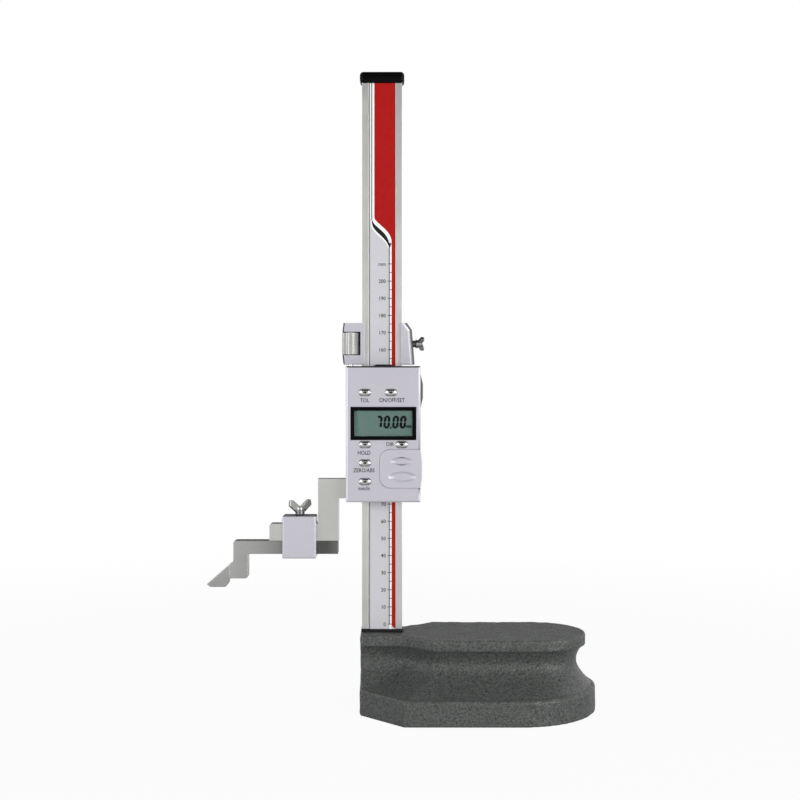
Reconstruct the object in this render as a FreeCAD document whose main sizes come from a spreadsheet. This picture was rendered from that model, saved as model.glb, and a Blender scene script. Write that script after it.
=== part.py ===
import FreeCAD, Part
import Sketcher
import os
import re

# Digital height gauge, 0 to 200 mm. Millimetres, +Z up, +X to the right of the display, -Y towards the user.
# The origin is on the base's underside, on the column's axis.

SIZES = {
    # base casting, distances in X from the column's axis
    "base_height": 44.0,
    "lower_flange_height": 14.5,
    "top_flange_height": 7.0,
    "base_left": 12.6,
    "base_right": 124.4,
    "base_half_width": 48.0,
    "base_left_half_width": 22.4,
    "base_corner": 13.0,
    "top_right": 119.0,
    "top_half_width": 28.7,
    "neck_half_width": 13.7,
    "neck_end": 10.8,
    "top_corner": 30.0,
    "casting_round": 1.2,
    "waist_recess": 5.4,
    "waist_foot_ledge": 0.3,
    "waist_end_flat": 1.0,
    # column
    "beam_width": 23.5,
    "beam_thickness": 8.0,
    "beam_length": 322.4,
    "gasket_height": 1.6,
    "gasket_rim": 0.4,
    "groove_width": 15.6,
    "strip_thickness": 0.9,
    "label_thickness": 0.25,
    "label_margin": 0.15,
    "cap_width": 26.0,
    "cap_depth": 11.0,
    "cap_height": 6.8,
    "cap_overlap": 4.4,
    "cap_round": 2.2,
    "cap_clearance": 0.05,
    # column screws
    "column_screw_spacing": 12.0,
    "column_screw_radius": 2.0,
    "column_screw_length": 32.0,
    "column_screw_head_radius": 3.5,
    "column_screw_head_height": 4.0,
    "column_seat_height": 24.0,
    "counterbore_clearance": 0.5,
    "thread_clearance": 0.05,
    "shank_clearance": 0.25,
    "hex_socket_radius": 1.35,
    "hex_socket_depth": 1.8,
    # slider frame
    "reading": 70.0,
    "slide_clearance": 0.05,
    "frame_left": 20.4,
    "frame_right": 20.9,
    "frame_front_wall": 0.95,
    "frame_back_wall": 4.45,
    "frame_inset": 0.5,
    "frame_round": 1.0,
    "sensor_width": 15.0,
    "sensor_inset": 7.0,
    "gib_thickness": 1.5,
    "gib_inset": 2.0,
    "gib_edge": 0.4,
    "gib_screw_radius": 1.5,
    "gib_screw_length": 6.0,
    "gib_screw_pitch": 24.0,
    "gib_socket_radius": 0.9,
    # display housing
    "housing_rise": 50.4,
    "housing_height": 78.3,
    "housing_left": 20.7,
    "housing_right": 22.3,
    "housing_depth": 10.0,
    "housing_wall": 1.8,
    "housing_round": 1.4,
    "housing_screw_radius": 1.25,
    "housing_screw_head_radius": 2.2,
    "housing_screw_head_height": 1.6,
    "housing_screw_depth": 6.0,
    "housing_screw_inset": 5.6,
    "housing_screw_left": 14.4,
    "housing_screw_right": 17.0,
    "boss_radius": 2.5,
    # display
    "bezel_left": 17.9,
    "bezel_right": 19.8,
    "bezel_rise": 35.8,
    "bezel_height": 19.0,
    "bezel_thickness": 0.8,
    "bezel_rim": 2.2,
    "lens_thickness": 0.5,
    "window_ledge": 1.4,
    "part_clearance": 0.1,
    "lcd_thickness": 1.8,
    "lcd_inset": 0.8,
    "lcd_gap": 0.1,
    "contact_strip_height": 2.0,
    "contact_strip_inset": 1.0,
    "board_thickness": 1.6,
    "board_left": 18.0,
    "board_right": 19.0,
    "board_rise": 10.0,
    "board_headroom": 10.3,
    "board_screw_radius": 0.9,
    "board_screw_head_radius": 1.6,
    "board_screw_head_height": 0.8,
    "board_screw_length": 2.2,
    "board_screw_inset": 3.0,
    # buttons
    "button_length": 7.0,
    "button_width": 4.0,
    "button_proud": 0.9,
    "button_flange": 0.8,
    "button_flange_thickness": 0.7,
    "button_stem_radius": 1.2,
    "button_clearance": 0.12,
    "button_travel": 0.5,
    "pad_thickness": 1.0,
    "button_column": 9.65,
    "power_button_x": 5.25,
    "direction_button_x": 11.5,
    "top_button_rise": 63.1,
    "hold_button_rise": 33.2,
    "zero_button_rise": 22.65,
    "unit_button_rise": 11.95,
    # battery and cover
    "cover_left": 1.1,
    "cover_rise": 8.2,
    "cover_height": 22.2,
    "cover_round": 6.0,
    "cover_thickness": 1.7,
    "cover_proud": 0.5,
    "cover_bulge": 0.9,
    "cover_bulge_inset": 6.66,
    "cover_side_depth": 6.2,
    "cell_radius": 10.0,
    "cell_thickness": 3.2,
    "cell_clearance": 0.2,
    "bay_floor": 0.9,
    "bay_wall": 1.0,
    "bay_inset": 0.9,
    "contact_width": 3.0,
    "contact_left": 7.0,
    "contact_right": 5.0,
    "contact_thickness": 0.3,
    # port cover and wiper
    "port_rise": 54.0,
    "port_height": 20.0,
    "port_bulge": 1.4,
    "port_bulge_inset": 6.0,
    "port_depth": 5.0,
    "port_back_edge": 1.6,
    "wiper_left": 5.8,
    "wiper_right": 7.6,
    "wiper_height": 3.0,
    "wiper_proud": 1.1,
    "wiper_slope": 2.5,
    "wiper_thickness": 1.8,
    # fine feed
    "carriage_gap": 1.3,
    "carriage_height": 24.0,
    "carriage_left": 22.4,
    "carriage_bulge": 0.9,
    "carriage_bulge_half": 4.8,
    "carriage_right_top": 17.4,
    "carriage_right_bottom": 19.0,
    "carriage_corner": 4.0,
    "carriage_corner_run": 2.8,
    "carriage_lip_left": 10.1,
    "carriage_lip_right": 10.7,
    "carriage_lip_thickness": 2.25,
    "carriage_back_wall": 4.45,
    "rod_offset": 18.3,
    "rod_depth": 1.5,
    "rod_radius": 1.5,
    "rod_embed": 14.0,
    "rod_rise": 23.6,
    "rod_collar_radius": 2.1,
    "rod_collar_height": 0.4,
    "nut_radius": 5.2,
    "nut_height": 12.6,
    "nut_end_clearance": 0.3,
    "nut_side_clearance": 0.35,
    "lock_screw_radius": 2.0,
    "lock_pad_thickness": 1.0,
    "lock_hub_radius": 2.6,
    "lock_hub_length": 4.4,
    "lock_wing_reach": 6.2,
    "lock_wing_height": 5.0,
    "lock_wing_thickness": 1.9,
    "lock_head_gap": 0.6,
    "lock_wing_angle": 55.0,
    # jaw
    "jaw_left": 37.4,
    "jaw_width": 12.1,
    "jaw_top_rise": 63.2,
    "jaw_arm_height": 11.4,
    "jaw_bar_height": 9.9,
    "jaw_bar_left": 65.8,
    "jaw_thickness": 8.0,
    "jaw_round": 1.4,
    "jaw_screw_radius": 1.5,
    "jaw_screw_head_radius": 2.4,
    "jaw_screw_head_height": 3.0,
    "jaw_screw_length": 11.5,
    "jaw_screw_spacing": 5.6,
    "jaw_counterbore_depth": 9.0,
    "thread_runout": 0.5,
    # scriber and its clamp
    "shank_rise": 19.3,
    "shank_height": 7.8,
    "shank_right": 25.6,
    "scriber_left": 86.9,
    "scriber_leg_width": 8.5,
    "scriber_leg_rise": 5.0,
    "scriber_slope_rise": 15.2,
    "scriber_top_corner": 1.9,
    "scriber_top_drop": 3.0,
    "scriber_heel": 2.5,
    "tip_joint_x": 89.2,
    "tip_point_x": 102.4,
    "tip_point_rise": 1.7,
    "tip_face_left": 100.2,
    "tip_face_right": 91.4,
    "tip_heel_x": 89.8,
    "tip_heel_rise": 2.2,
    "clamp_centre": 48.2,
    "clamp_width": 19.8,
    "clamp_bottom_wall": 2.4,
    "clamp_top_wall": 3.4,
    "clamp_top_room": 1.4,
    "clamp_side_wall": 2.4,
    "clamp_round": 1.0,
    "clamp_screw_radius": 2.0,
    "clamp_hub_radius": 2.8,
    "clamp_hub_length": 4.2,
    "clamp_wing_reach": 8.2,
    "clamp_wing_height": 8.4,
    "clamp_wing_thickness": 2.0,
    "clamp_head_gap": 0.4,
    "clamp_wing_angle": 38.0,
    # shape of a wing screw's head, as shares of its hub, reach and height
    "hub_taper": 0.8,
    "wing_foot_level": 0.22,
    "wing_foot_reach": 0.3,
    "wing_shoulder_level": 0.62,
    "wing_shoulder_reach": 0.92,
    "wing_tip_reach": 0.86,
    "wing_dip_reach": 0.62,
    "wing_dip_level": 0.52,
}

# Places that several pieces share, written as expressions of the sizes above.
BEAM_FOOT = "(base_height + gasket_height)"
BEAM_TOP = "(%s + beam_length)" % BEAM_FOOT
BEAM_FRONT = "(-beam_thickness / 2)"
BEAM_BACK = "(beam_thickness / 2)"
BEAM_SIDE = "(beam_width / 2)"
GROOVE_DEPTH = "(strip_thickness + label_thickness)"
FRAME_FRONT = "(%s - slide_clearance - frame_front_wall)" % BEAM_FRONT
FRAME_BACK = "(%s + slide_clearance + frame_back_wall)" % BEAM_BACK
HOUSING_BOTTOM = "(reading + housing_rise)"
HOUSING_TOP = "(%s + housing_height)" % HOUSING_BOTTOM
HOUSING_FRONT = "(%s - housing_depth)" % FRAME_FRONT
HOUSING_INNER = "(%s + housing_wall)" % HOUSING_FRONT
FRAME_BOTTOM = "(%s + frame_inset)" % HOUSING_BOTTOM
FRAME_TOP = "(%s - frame_inset)" % HOUSING_TOP
GIB_SIDE = "(%s + slide_clearance + gib_thickness + slide_clearance)" % BEAM_SIDE
BOARD_FRONT = "(%s - board_thickness)" % FRAME_FRONT
BOARD_BOTTOM = "(%s + board_rise)" % HOUSING_BOTTOM
BOARD_TOP = "(%s - board_headroom)" % HOUSING_TOP
BEZEL_BOTTOM = "(%s + bezel_rise)" % HOUSING_BOTTOM
BEZEL_BACK = "(%s + bezel_thickness)" % HOUSING_FRONT
LENS_BACK = "(%s + lens_thickness)" % BEZEL_BACK
LCD_FRONT = "(%s + lcd_gap)" % HOUSING_INNER
LCD_BACK = "(%s + lcd_thickness)" % LCD_FRONT
COVER_BOTTOM = "(%s + cover_rise)" % HOUSING_BOTTOM
COVER_BACK = "(%s - cover_proud + cover_thickness)" % HOUSING_FRONT
CELL_X = "(cell_radius + cell_clearance + part_clearance - cover_left + bay_inset)"
CELL_Z = "(%s + cover_height / 2)" % COVER_BOTTOM
CELL_FRONT = "(%s + part_clearance)" % COVER_BACK
CELL_BACK = "(%s + cell_thickness)" % CELL_FRONT
BAY_BACK = "(%s + contact_thickness + part_clearance + bay_floor)" % CELL_BACK
CARRIAGE_BOTTOM = "(%s + carriage_gap)" % HOUSING_TOP
CARRIAGE_TOP = "(%s + carriage_height)" % CARRIAGE_BOTTOM
CARRIAGE_MIDDLE = "(%s + carriage_height / 2)" % CARRIAGE_BOTTOM
CARRIAGE_FRONT = "(%s - slide_clearance - carriage_lip_thickness)" % BEAM_FRONT
CARRIAGE_BACK = "(%s + slide_clearance + carriage_back_wall)" % BEAM_BACK
NUT_BOTTOM = "(%s - nut_height / 2)" % CARRIAGE_MIDDLE
JAW_TOP = "(reading + jaw_top_rise)"
JAW_ARM_BOTTOM = "(%s - jaw_arm_height)" % JAW_TOP
JAW_SEAT_X = "(-jaw_left + jaw_counterbore_depth)"
JAW_SCREW_GRIP = "(jaw_screw_length - (jaw_left - jaw_counterbore_depth - frame_left))"
SHANK_BOTTOM = "(reading + shank_rise)"
SHANK_TOP = "(%s + shank_height)" % SHANK_BOTTOM
BAR_TOP = "(%s + jaw_bar_height)" % SHANK_TOP
CLAMP_BOTTOM = "(%s - slide_clearance - clamp_bottom_wall)" % SHANK_BOTTOM
CLAMP_INNER_TOP = "(%s + clamp_top_room)" % BAR_TOP
CLAMP_TOP = "(%s + clamp_top_wall)" % CLAMP_INNER_TOP

# The coved waist's cross-sections, from its foot up. Each is the share of the way from the top flange's plan
# to the lower flange's, the recess from that plan, and the share of the waist's height.
WAIST_SECTIONS = [
    (0.97, "casting_round + waist_foot_ledge", 0.0),
    (0.66, "waist_recess * 0.4", 0.08),
    (0.3, "waist_recess * 0.62", 0.24),
    (0.07, "waist_recess * 0.92", 0.44),
    (0.0, "waist_recess", 0.62),
    (0.0, "waist_recess * 0.78", 0.82),
    (0.0, "waist_recess * 0.25", 1.0),
]

doc = FreeCAD.newDocument("height_gauge")
sub_parts = []


def make_sheet():
    """The spreadsheet of driving sizes, one alias to a row."""
    sheet = doc.addObject("Spreadsheet::Sheet", "Dims")
    for row, (alias, value) in enumerate(SIZES.items(), start=1):
        sheet.set("A%d" % row, alias)
        sheet.set("B%d" % row, str(value))
        sheet.setAlias("B%d" % row, alias)
    doc.recompute()
    return sheet


def make_gauge():
    """An object whose one property takes the value of any expression of the sizes."""
    item = doc.addObject("App::FeaturePython", "Gauge")
    item.addProperty("App::PropertyFloat", "Reading")
    return item


def linked(text):
    """Turn the bare size names in an expression into cells of the sheet."""
    return re.sub(r"\b([a-z][a-z_]+)\b(?!\()", r"Dims.\1", str(text))


def bind(item, **expressions):
    """Bind properties of an object; a double underscore stands for a dot in a property's path."""
    for path, text in expressions.items():
        item.setExpression(path.replace("__", "."), linked(text))


def place(item, x=0, y=0, z=0):
    """Bind an object's position."""
    bind(item, Placement__Base__x=x, Placement__Base__y=y, Placement__Base__z=z)


def sub_part(item, label):
    """Give a finished piece the name of its file and keep it for writing."""
    item.Label = label
    sub_parts.append(item)
    return item


def turned_to(axis):
    """The rotation that takes +Z to the named axis."""
    targets = {"X": (1, 0, 0), "Y": (0, 1, 0), "Z": (0, 0, 1)}
    direction = FreeCAD.Vector(*targets[axis[-1]])
    if axis.startswith("-"):
        direction = -direction
    return FreeCAD.Rotation(FreeCAD.Vector(0, 0, 1), direction)


def block(name, low, high):
    """A box between two corners."""
    item = doc.addObject("Part::Box", name)
    bind(item, Length="%s - (%s)" % (high[0], low[0]))
    bind(item, Width="%s - (%s)" % (high[1], low[1]))
    bind(item, Height="%s - (%s)" % (high[2], low[2]))
    place(item, *low)
    return item


def rod(name, start, axis, radius, length):
    """A cylinder from a start point along an axis."""
    item = doc.addObject("Part::Cylinder", name)
    item.Placement = FreeCAD.Placement(FreeCAD.Vector(), turned_to(axis))
    bind(item, Radius=radius, Height=length)
    place(item, *start)
    return item


def hexagon(name, start, axis, radius, length):
    """A hexagonal prism from a start point along an axis."""
    item = doc.addObject("Part::Prism", name)
    item.Polygon = 6
    item.Placement = FreeCAD.Placement(FreeCAD.Vector(), turned_to(axis))
    bind(item, Circumradius=radius, Height=length)
    place(item, *start)
    return item


def fuse(name, pieces):
    item = doc.addObject("Part::MultiFuse", name)
    item.Shapes = pieces
    item.Refine = True
    return item


def cut(name, base, tools):
    """A base with one or more tools taken away."""
    tool = tools[0] if len(tools) == 1 else fuse(name + "_tools", tools)
    item = doc.addObject("Part::Cut", name)
    item.Base = base
    item.Tool = tool
    item.Refine = True
    return item


def group(name, pieces):
    """Several separate solids in one sub-part."""
    item = doc.addObject("Part::Compound", name)
    item.Links = pieces
    return item


def new_body(name):
    return doc.addObject("PartDesign::Body", name)


def new_sketch(body, name, role, offset):
    """A sketch on one of the body's origin planes, moved along the plane's normal."""
    item = body.newObject("Sketcher::SketchObject", name)
    plane = [feature for feature in body.Origin.OriginFeatures if feature.Role == role][0]
    item.AttachmentSupport = [(plane, "")]
    item.MapMode = "FlatFace"
    item.setExpression("AttachmentOffset.Base.z", linked(offset))
    return item


def worth(text):
    """The present value of an expression of the sheet's sizes."""
    gauge.setExpression("Reading", linked(text))
    gauge.recompute()
    return gauge.Reading


def hold_point(sketch, geometry, position, across, up):
    """Two dimensions from the sketch's origin to a point."""
    for kind, text in (("DistanceX", across), ("DistanceY", up)):
        index = sketch.addConstraint(Sketcher.Constraint(kind, -1, 1, geometry, position, worth(text)))
        sketch.setExpression("Constraints[%d]" % index, linked(text))


def draw_loop(sketch, corners, arcs=()):
    """A closed anticlockwise loop through the corners, each a pair of expressions.

    arcs maps the number of an edge, counted by the corner it starts from, to the expressions of its centre.
    """
    arcs = dict(arcs)
    count = len(corners)
    points = [FreeCAD.Vector(worth(across), worth(up), 0) for across, up in corners]
    for number, start in enumerate(points):
        end = points[(number + 1) % count]
        if number in arcs:
            centre = FreeCAD.Vector(worth(arcs[number][0]), worth(arcs[number][1]), 0)
            outward = FreeCAD.Vector(end.y - start.y, start.x - end.x, 0).normalize()
            middle = centre + outward * (start - centre).Length
            sketch.addGeometry(Part.Arc(start, middle, end), False)
        else:
            sketch.addGeometry(Part.LineSegment(start, end), False)
    for number in range(count):
        following = (number + 1) % count
        sketch.addConstraint(Sketcher.Constraint("Coincident", number, 2, following, 1))
    for number, (across, up) in enumerate(corners):
        hold_point(sketch, number, 1, across, up)
    for number, (across, up) in arcs.items():
        index = sketch.addConstraint(Sketcher.Constraint("DistanceX", -1, 1, number, 3, worth(across)))
        sketch.setExpression("Constraints[%d]" % index, linked(across))


def pad(body, sketch, name, length):
    """Thicken a sketch along its plane's normal."""
    item = body.newObject("PartDesign::Pad", name)
    item.Profile = sketch
    bind(item, Length=length)
    return item


def slab(name, role, corners, start, length, arcs=()):
    """A body made of one padded outline."""
    body = new_body(name)
    sketch = new_sketch(body, name + "_outline", role, start)
    draw_loop(sketch, corners, arcs)
    pad(body, sketch, name + "_pad", length)
    doc.recompute()
    return body


def round_edges(body, name, radius, wanted):
    """Round the edges of the body's last feature that pass a test."""
    doc.recompute()
    base = body.Tip
    edges = ["Edge%d" % (number + 1) for number, edge in enumerate(base.Shape.Edges) if wanted(edge)]
    item = body.newObject("PartDesign::Fillet", name)
    item.Base = (base, edges)
    bind(item, Radius=radius)
    doc.recompute()
    return item


def near(value, target):
    return abs(value - target) < 0.01


def straight_along(edge, axis):
    """Whether an edge is a straight line along X, Y or Z."""
    if not isinstance(edge.Curve, Part.Line):
        return False
    return abs(getattr(edge.Curve.Direction, axis)) > 0.999


def socket_screw(name, seat, axis, back, radius, length, head_radius, head_height):
    """A cap screw whose head rests at the seat point; its shank points along axis, its head along back."""
    shank = rod(name + "_shank", seat, axis, radius, length)
    head = rod(name + "_head", seat, back, head_radius, head_height)
    direction = turned_to(back).multVec(FreeCAD.Vector(0, 0, 1))
    socket_start = []
    for coordinate, step in zip(seat, direction):
        socket_start.append("%s + (%s) * (%s - hex_socket_depth)" % (coordinate, round(step), head_height))
    socket = hexagon(name + "_socket", socket_start, back, "hex_socket_radius", "hex_socket_depth")
    return cut(name, fuse(name + "_blank", [shank, head]), [socket])


def wing_screw(name, seat, back, kind, length, angle):
    """A wing screw whose sizes start with the word kind; back is the way its head points from the seat point.

    Its hub stands on the seat point and its two wings lie in one plane through the axis.
    """
    radius, hub_radius, hub_length = kind + "_screw_radius", kind + "_hub_radius", kind + "_hub_length"
    reach, height, thickness = kind + "_wing_reach", kind + "_wing_height", kind + "_wing_thickness"
    body = new_body(name)
    body.Placement = FreeCAD.Placement(FreeCAD.Vector(), turned_to(back))
    hub_sketch = new_sketch(body, name + "_hub_profile", "XZ_Plane", 0)
    corners = [("0", "-(%s)" % length), (radius, "-(%s)" % length), (radius, "0"), (hub_radius, "0")]
    corners += [("%s * hub_taper" % hub_radius, hub_length), ("0", hub_length)]
    draw_loop(hub_sketch, corners)
    hub = body.newObject("PartDesign::Revolution", name + "_hub")
    hub.Profile = hub_sketch
    hub.ReferenceAxis = (hub_sketch, ["V_Axis"])
    wing_sketch = new_sketch(body, name + "_wing_outline", "XZ_Plane", "-(%s) / 2" % thickness)
    right_edge = [("%s * wing_foot_reach" % reach, "%s * wing_foot_level" % hub_length),
                  ("%s * wing_shoulder_reach" % reach, "%s * wing_shoulder_level" % height),
                  ("%s * wing_tip_reach" % reach, height),
                  ("%s * wing_dip_reach" % reach, height)]
    left_edge = [("-" + across, up) for across, up in reversed(right_edge)]
    draw_loop(wing_sketch, right_edge + [("0", "%s * wing_dip_level" % height)] + left_edge)
    wings = pad(body, wing_sketch, name + "_wings", thickness)
    doc.recompute()
    body.Tip = wings
    spin = FreeCAD.Rotation(FreeCAD.Vector(0, 0, 1), angle)
    body.Placement = FreeCAD.Placement(FreeCAD.Vector(), turned_to(back).multiply(spin))
    place(body, *seat)
    return body


# Base casting

def plan_outline(left_half, neck_x, corner_x, half, right):
    """Corners and right-hand arc of a flange's plan."""
    corners = [("-base_left", "-(%s)" % left_half), (neck_x, "-(%s)" % left_half), (corner_x, "-(%s)" % half)]
    corners += [("%s - (%s)" % (right, half), "-(%s)" % half), ("%s - (%s)" % (right, half), half)]
    corners += [(corner_x, half), (neck_x, left_half), ("-base_left", left_half)]
    centre = {3: ("%s - (%s)" % (right, half), "0")}
    return corners, centre


def waist_section(body, number, share, recess, level):
    """One cross-section of the coved waist; share 0 is the top flange's plan and 1 the lower one's."""
    def mix(top, low, inset):
        return "(%s + (%s - (%s)) * %s - (%s))" % (top, low, top, share, inset)
    half = mix("top_half_width", "base_half_width", recess)
    right = mix("top_right", "base_right", recess)
    left_half = mix("neck_half_width", "base_left_half_width", recess)
    neck = mix("neck_end", "(waist_end_flat - base_left)", "0")
    corner = mix("top_corner", "base_corner", "0")
    sketch = new_sketch(body, "waist_section_%d" % number, "XY_Plane", level)
    draw_loop(sketch, *plan_outline(left_half, neck, corner, half, right))
    return sketch


def make_base():
    body = new_body("base_body")
    lower = new_sketch(body, "lower_plan", "XY_Plane", 0)
    corners = [("-base_left", "-base_left_half_width"), ("base_corner", "-base_half_width")]
    arc_x = "base_right - base_half_width"
    corners += [(arc_x, "-base_half_width"), (arc_x, "base_half_width")]
    corners += [("base_corner", "base_half_width"), ("-base_left", "base_left_half_width")]
    draw_loop(lower, corners, {2: (arc_x, "0")})
    pad(body, lower, "lower_flange", "lower_flange_height")
    end_x = worth("-base_left")

    def rim_at(level):
        def on_rim(edge):
            box = edge.BoundBox
            return near(box.ZMin, level) and near(box.ZMax, level) and not near(box.XMax, end_x)
        return on_rim
    round_edges(body, "lower_rim_round", "casting_round", rim_at(worth("lower_flange_height")))
    waist_rise = "(base_height - top_flange_height - lower_flange_height)"
    sections = []
    for number, (share, recess, height) in enumerate(WAIST_SECTIONS):
        level = "lower_flange_height + %s * %s" % (waist_rise, height)
        sections.append(waist_section(body, number, share, recess, level))
    waist = body.newObject("PartDesign::AdditiveLoft", "waist")
    waist.Profile = sections[0]
    waist.Sections = sections[1:]
    waist.Ruled = False
    top = new_sketch(body, "top_plan", "XY_Plane", "base_height - top_flange_height")
    draw_loop(top, *plan_outline("neck_half_width", "neck_end", "top_corner", "top_half_width", "top_right"))
    pad(body, top, "top_flange", "top_flange_height")
    round_edges(body, "top_rim_round", "casting_round", rim_at(worth("base_height")))
    tools = []
    for number, side in enumerate((-0.5, 0.5)):
        x = "column_screw_spacing * %s" % side
        tools.append(rod("base_hole_%d" % number, (x, 0, 0), "Z", "column_screw_radius + shank_clearance",
                         "base_height"))
        tools.append(rod("base_counterbore_%d" % number, (x, 0, 0), "Z",
                         "column_screw_head_radius + counterbore_clearance", "column_seat_height"))
    return sub_part(cut("base", body, tools), "base_casting")


def make_column():
    groove = "groove_width / 2"
    beam = block("beam_blank", ("-" + BEAM_SIDE, BEAM_FRONT, BEAM_FOOT), (BEAM_SIDE, BEAM_BACK, BEAM_TOP))
    groove_back = "%s + %s" % (BEAM_FRONT, GROOVE_DEPTH)
    slot = block("beam_groove", ("-" + groove, BEAM_FRONT, BEAM_FOOT), (groove, groove_back, BEAM_TOP))
    tools = [slot]
    gasket_tools = []
    screws = []
    for number, side in enumerate((-0.5, 0.5)):
        x = "column_screw_spacing * %s" % side
        reach = "column_screw_length - (%s - column_seat_height) + thread_runout" % BEAM_FOOT
        tools.append(rod("beam_thread_%d" % number, (x, 0, BEAM_FOOT), "Z",
                         "column_screw_radius + thread_clearance", reach))
        gasket_tools.append(rod("gasket_hole_%d" % number, (x, 0, "base_height"), "Z",
                                "column_screw_radius + shank_clearance", "gasket_height"))
        screws.append(socket_screw("column_screw_%d" % number, (x, "0", "column_seat_height"), "Z", "-Z",
                                   "column_screw_radius", "column_screw_length",
                                   "column_screw_head_radius", "column_screw_head_height"))
    sub_part(cut("beam", beam, tools), "column_beam")
    rim_x = "(%s + gasket_rim)" % BEAM_SIDE
    rim_y = "(%s + gasket_rim)" % BEAM_BACK
    gasket = block("gasket_blank", ("-" + rim_x, "-" + rim_y, "base_height"), (rim_x, rim_y, BEAM_FOOT))
    sub_part(cut("gasket", gasket, gasket_tools), "column_foot_gasket")
    sub_part(group("column_screw_group", screws), "column_screws")
    inner = "(groove_width / 2 - label_margin)"
    label_back = "%s + label_thickness" % BEAM_FRONT
    sub_part(block("circuit_strip", ("-" + inner, label_back, BEAM_FOOT), (inner, groove_back, BEAM_TOP)),
             "scale_circuit_strip")
    sub_part(block("label", ("-" + inner, BEAM_FRONT, BEAM_FOOT), (inner, label_back, BEAM_TOP)),
             "scale_label")


def make_cap():
    bottom = "(%s - cap_overlap)" % BEAM_TOP
    corners = [("-cap_width / 2", bottom), ("cap_width / 2", bottom)]
    corners += [("cap_width / 2", "%s + cap_height" % bottom), ("-cap_width / 2", "%s + cap_height" % bottom)]
    body = slab("cap_body", "XZ_Plane", corners, "-cap_depth / 2", "cap_depth")
    round_edges(body, "cap_side_round", "cap_round", lambda edge: straight_along(edge, "y"))
    room = "cap_clearance"
    low = ("-%s - %s" % (BEAM_SIDE, room), "%s - %s" % (BEAM_FRONT, room), bottom)
    high = ("%s + %s" % (BEAM_SIDE, room), "%s + %s" % (BEAM_BACK, room), BEAM_TOP)
    sub_part(cut("cap", body, [block("cap_pocket", low, high)]), "column_end_cap")


# Slider frame and its gib

def housing_screw_places():
    """The four screws that join the frame and the display housing, as X and Z."""
    low = "(%s + housing_screw_inset)" % HOUSING_BOTTOM
    high = "(%s - housing_screw_inset)" % HOUSING_TOP
    return [(x, z) for x in ("-housing_screw_left", "housing_screw_right") for z in (low, high)]


def board_screw_places():
    low = "(%s + board_screw_inset)" % BOARD_BOTTOM
    high = "(%s - board_screw_inset)" % BOARD_TOP
    return [("-board_left + board_screw_inset", low), ("board_right - board_screw_inset", high)]


def gib_screw_heights():
    middle = "(%s + housing_height / 2)" % HOUSING_BOTTOM
    return ["%s + gib_screw_pitch * %d" % (middle, step) for step in (-1, 0, 1)]


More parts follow.
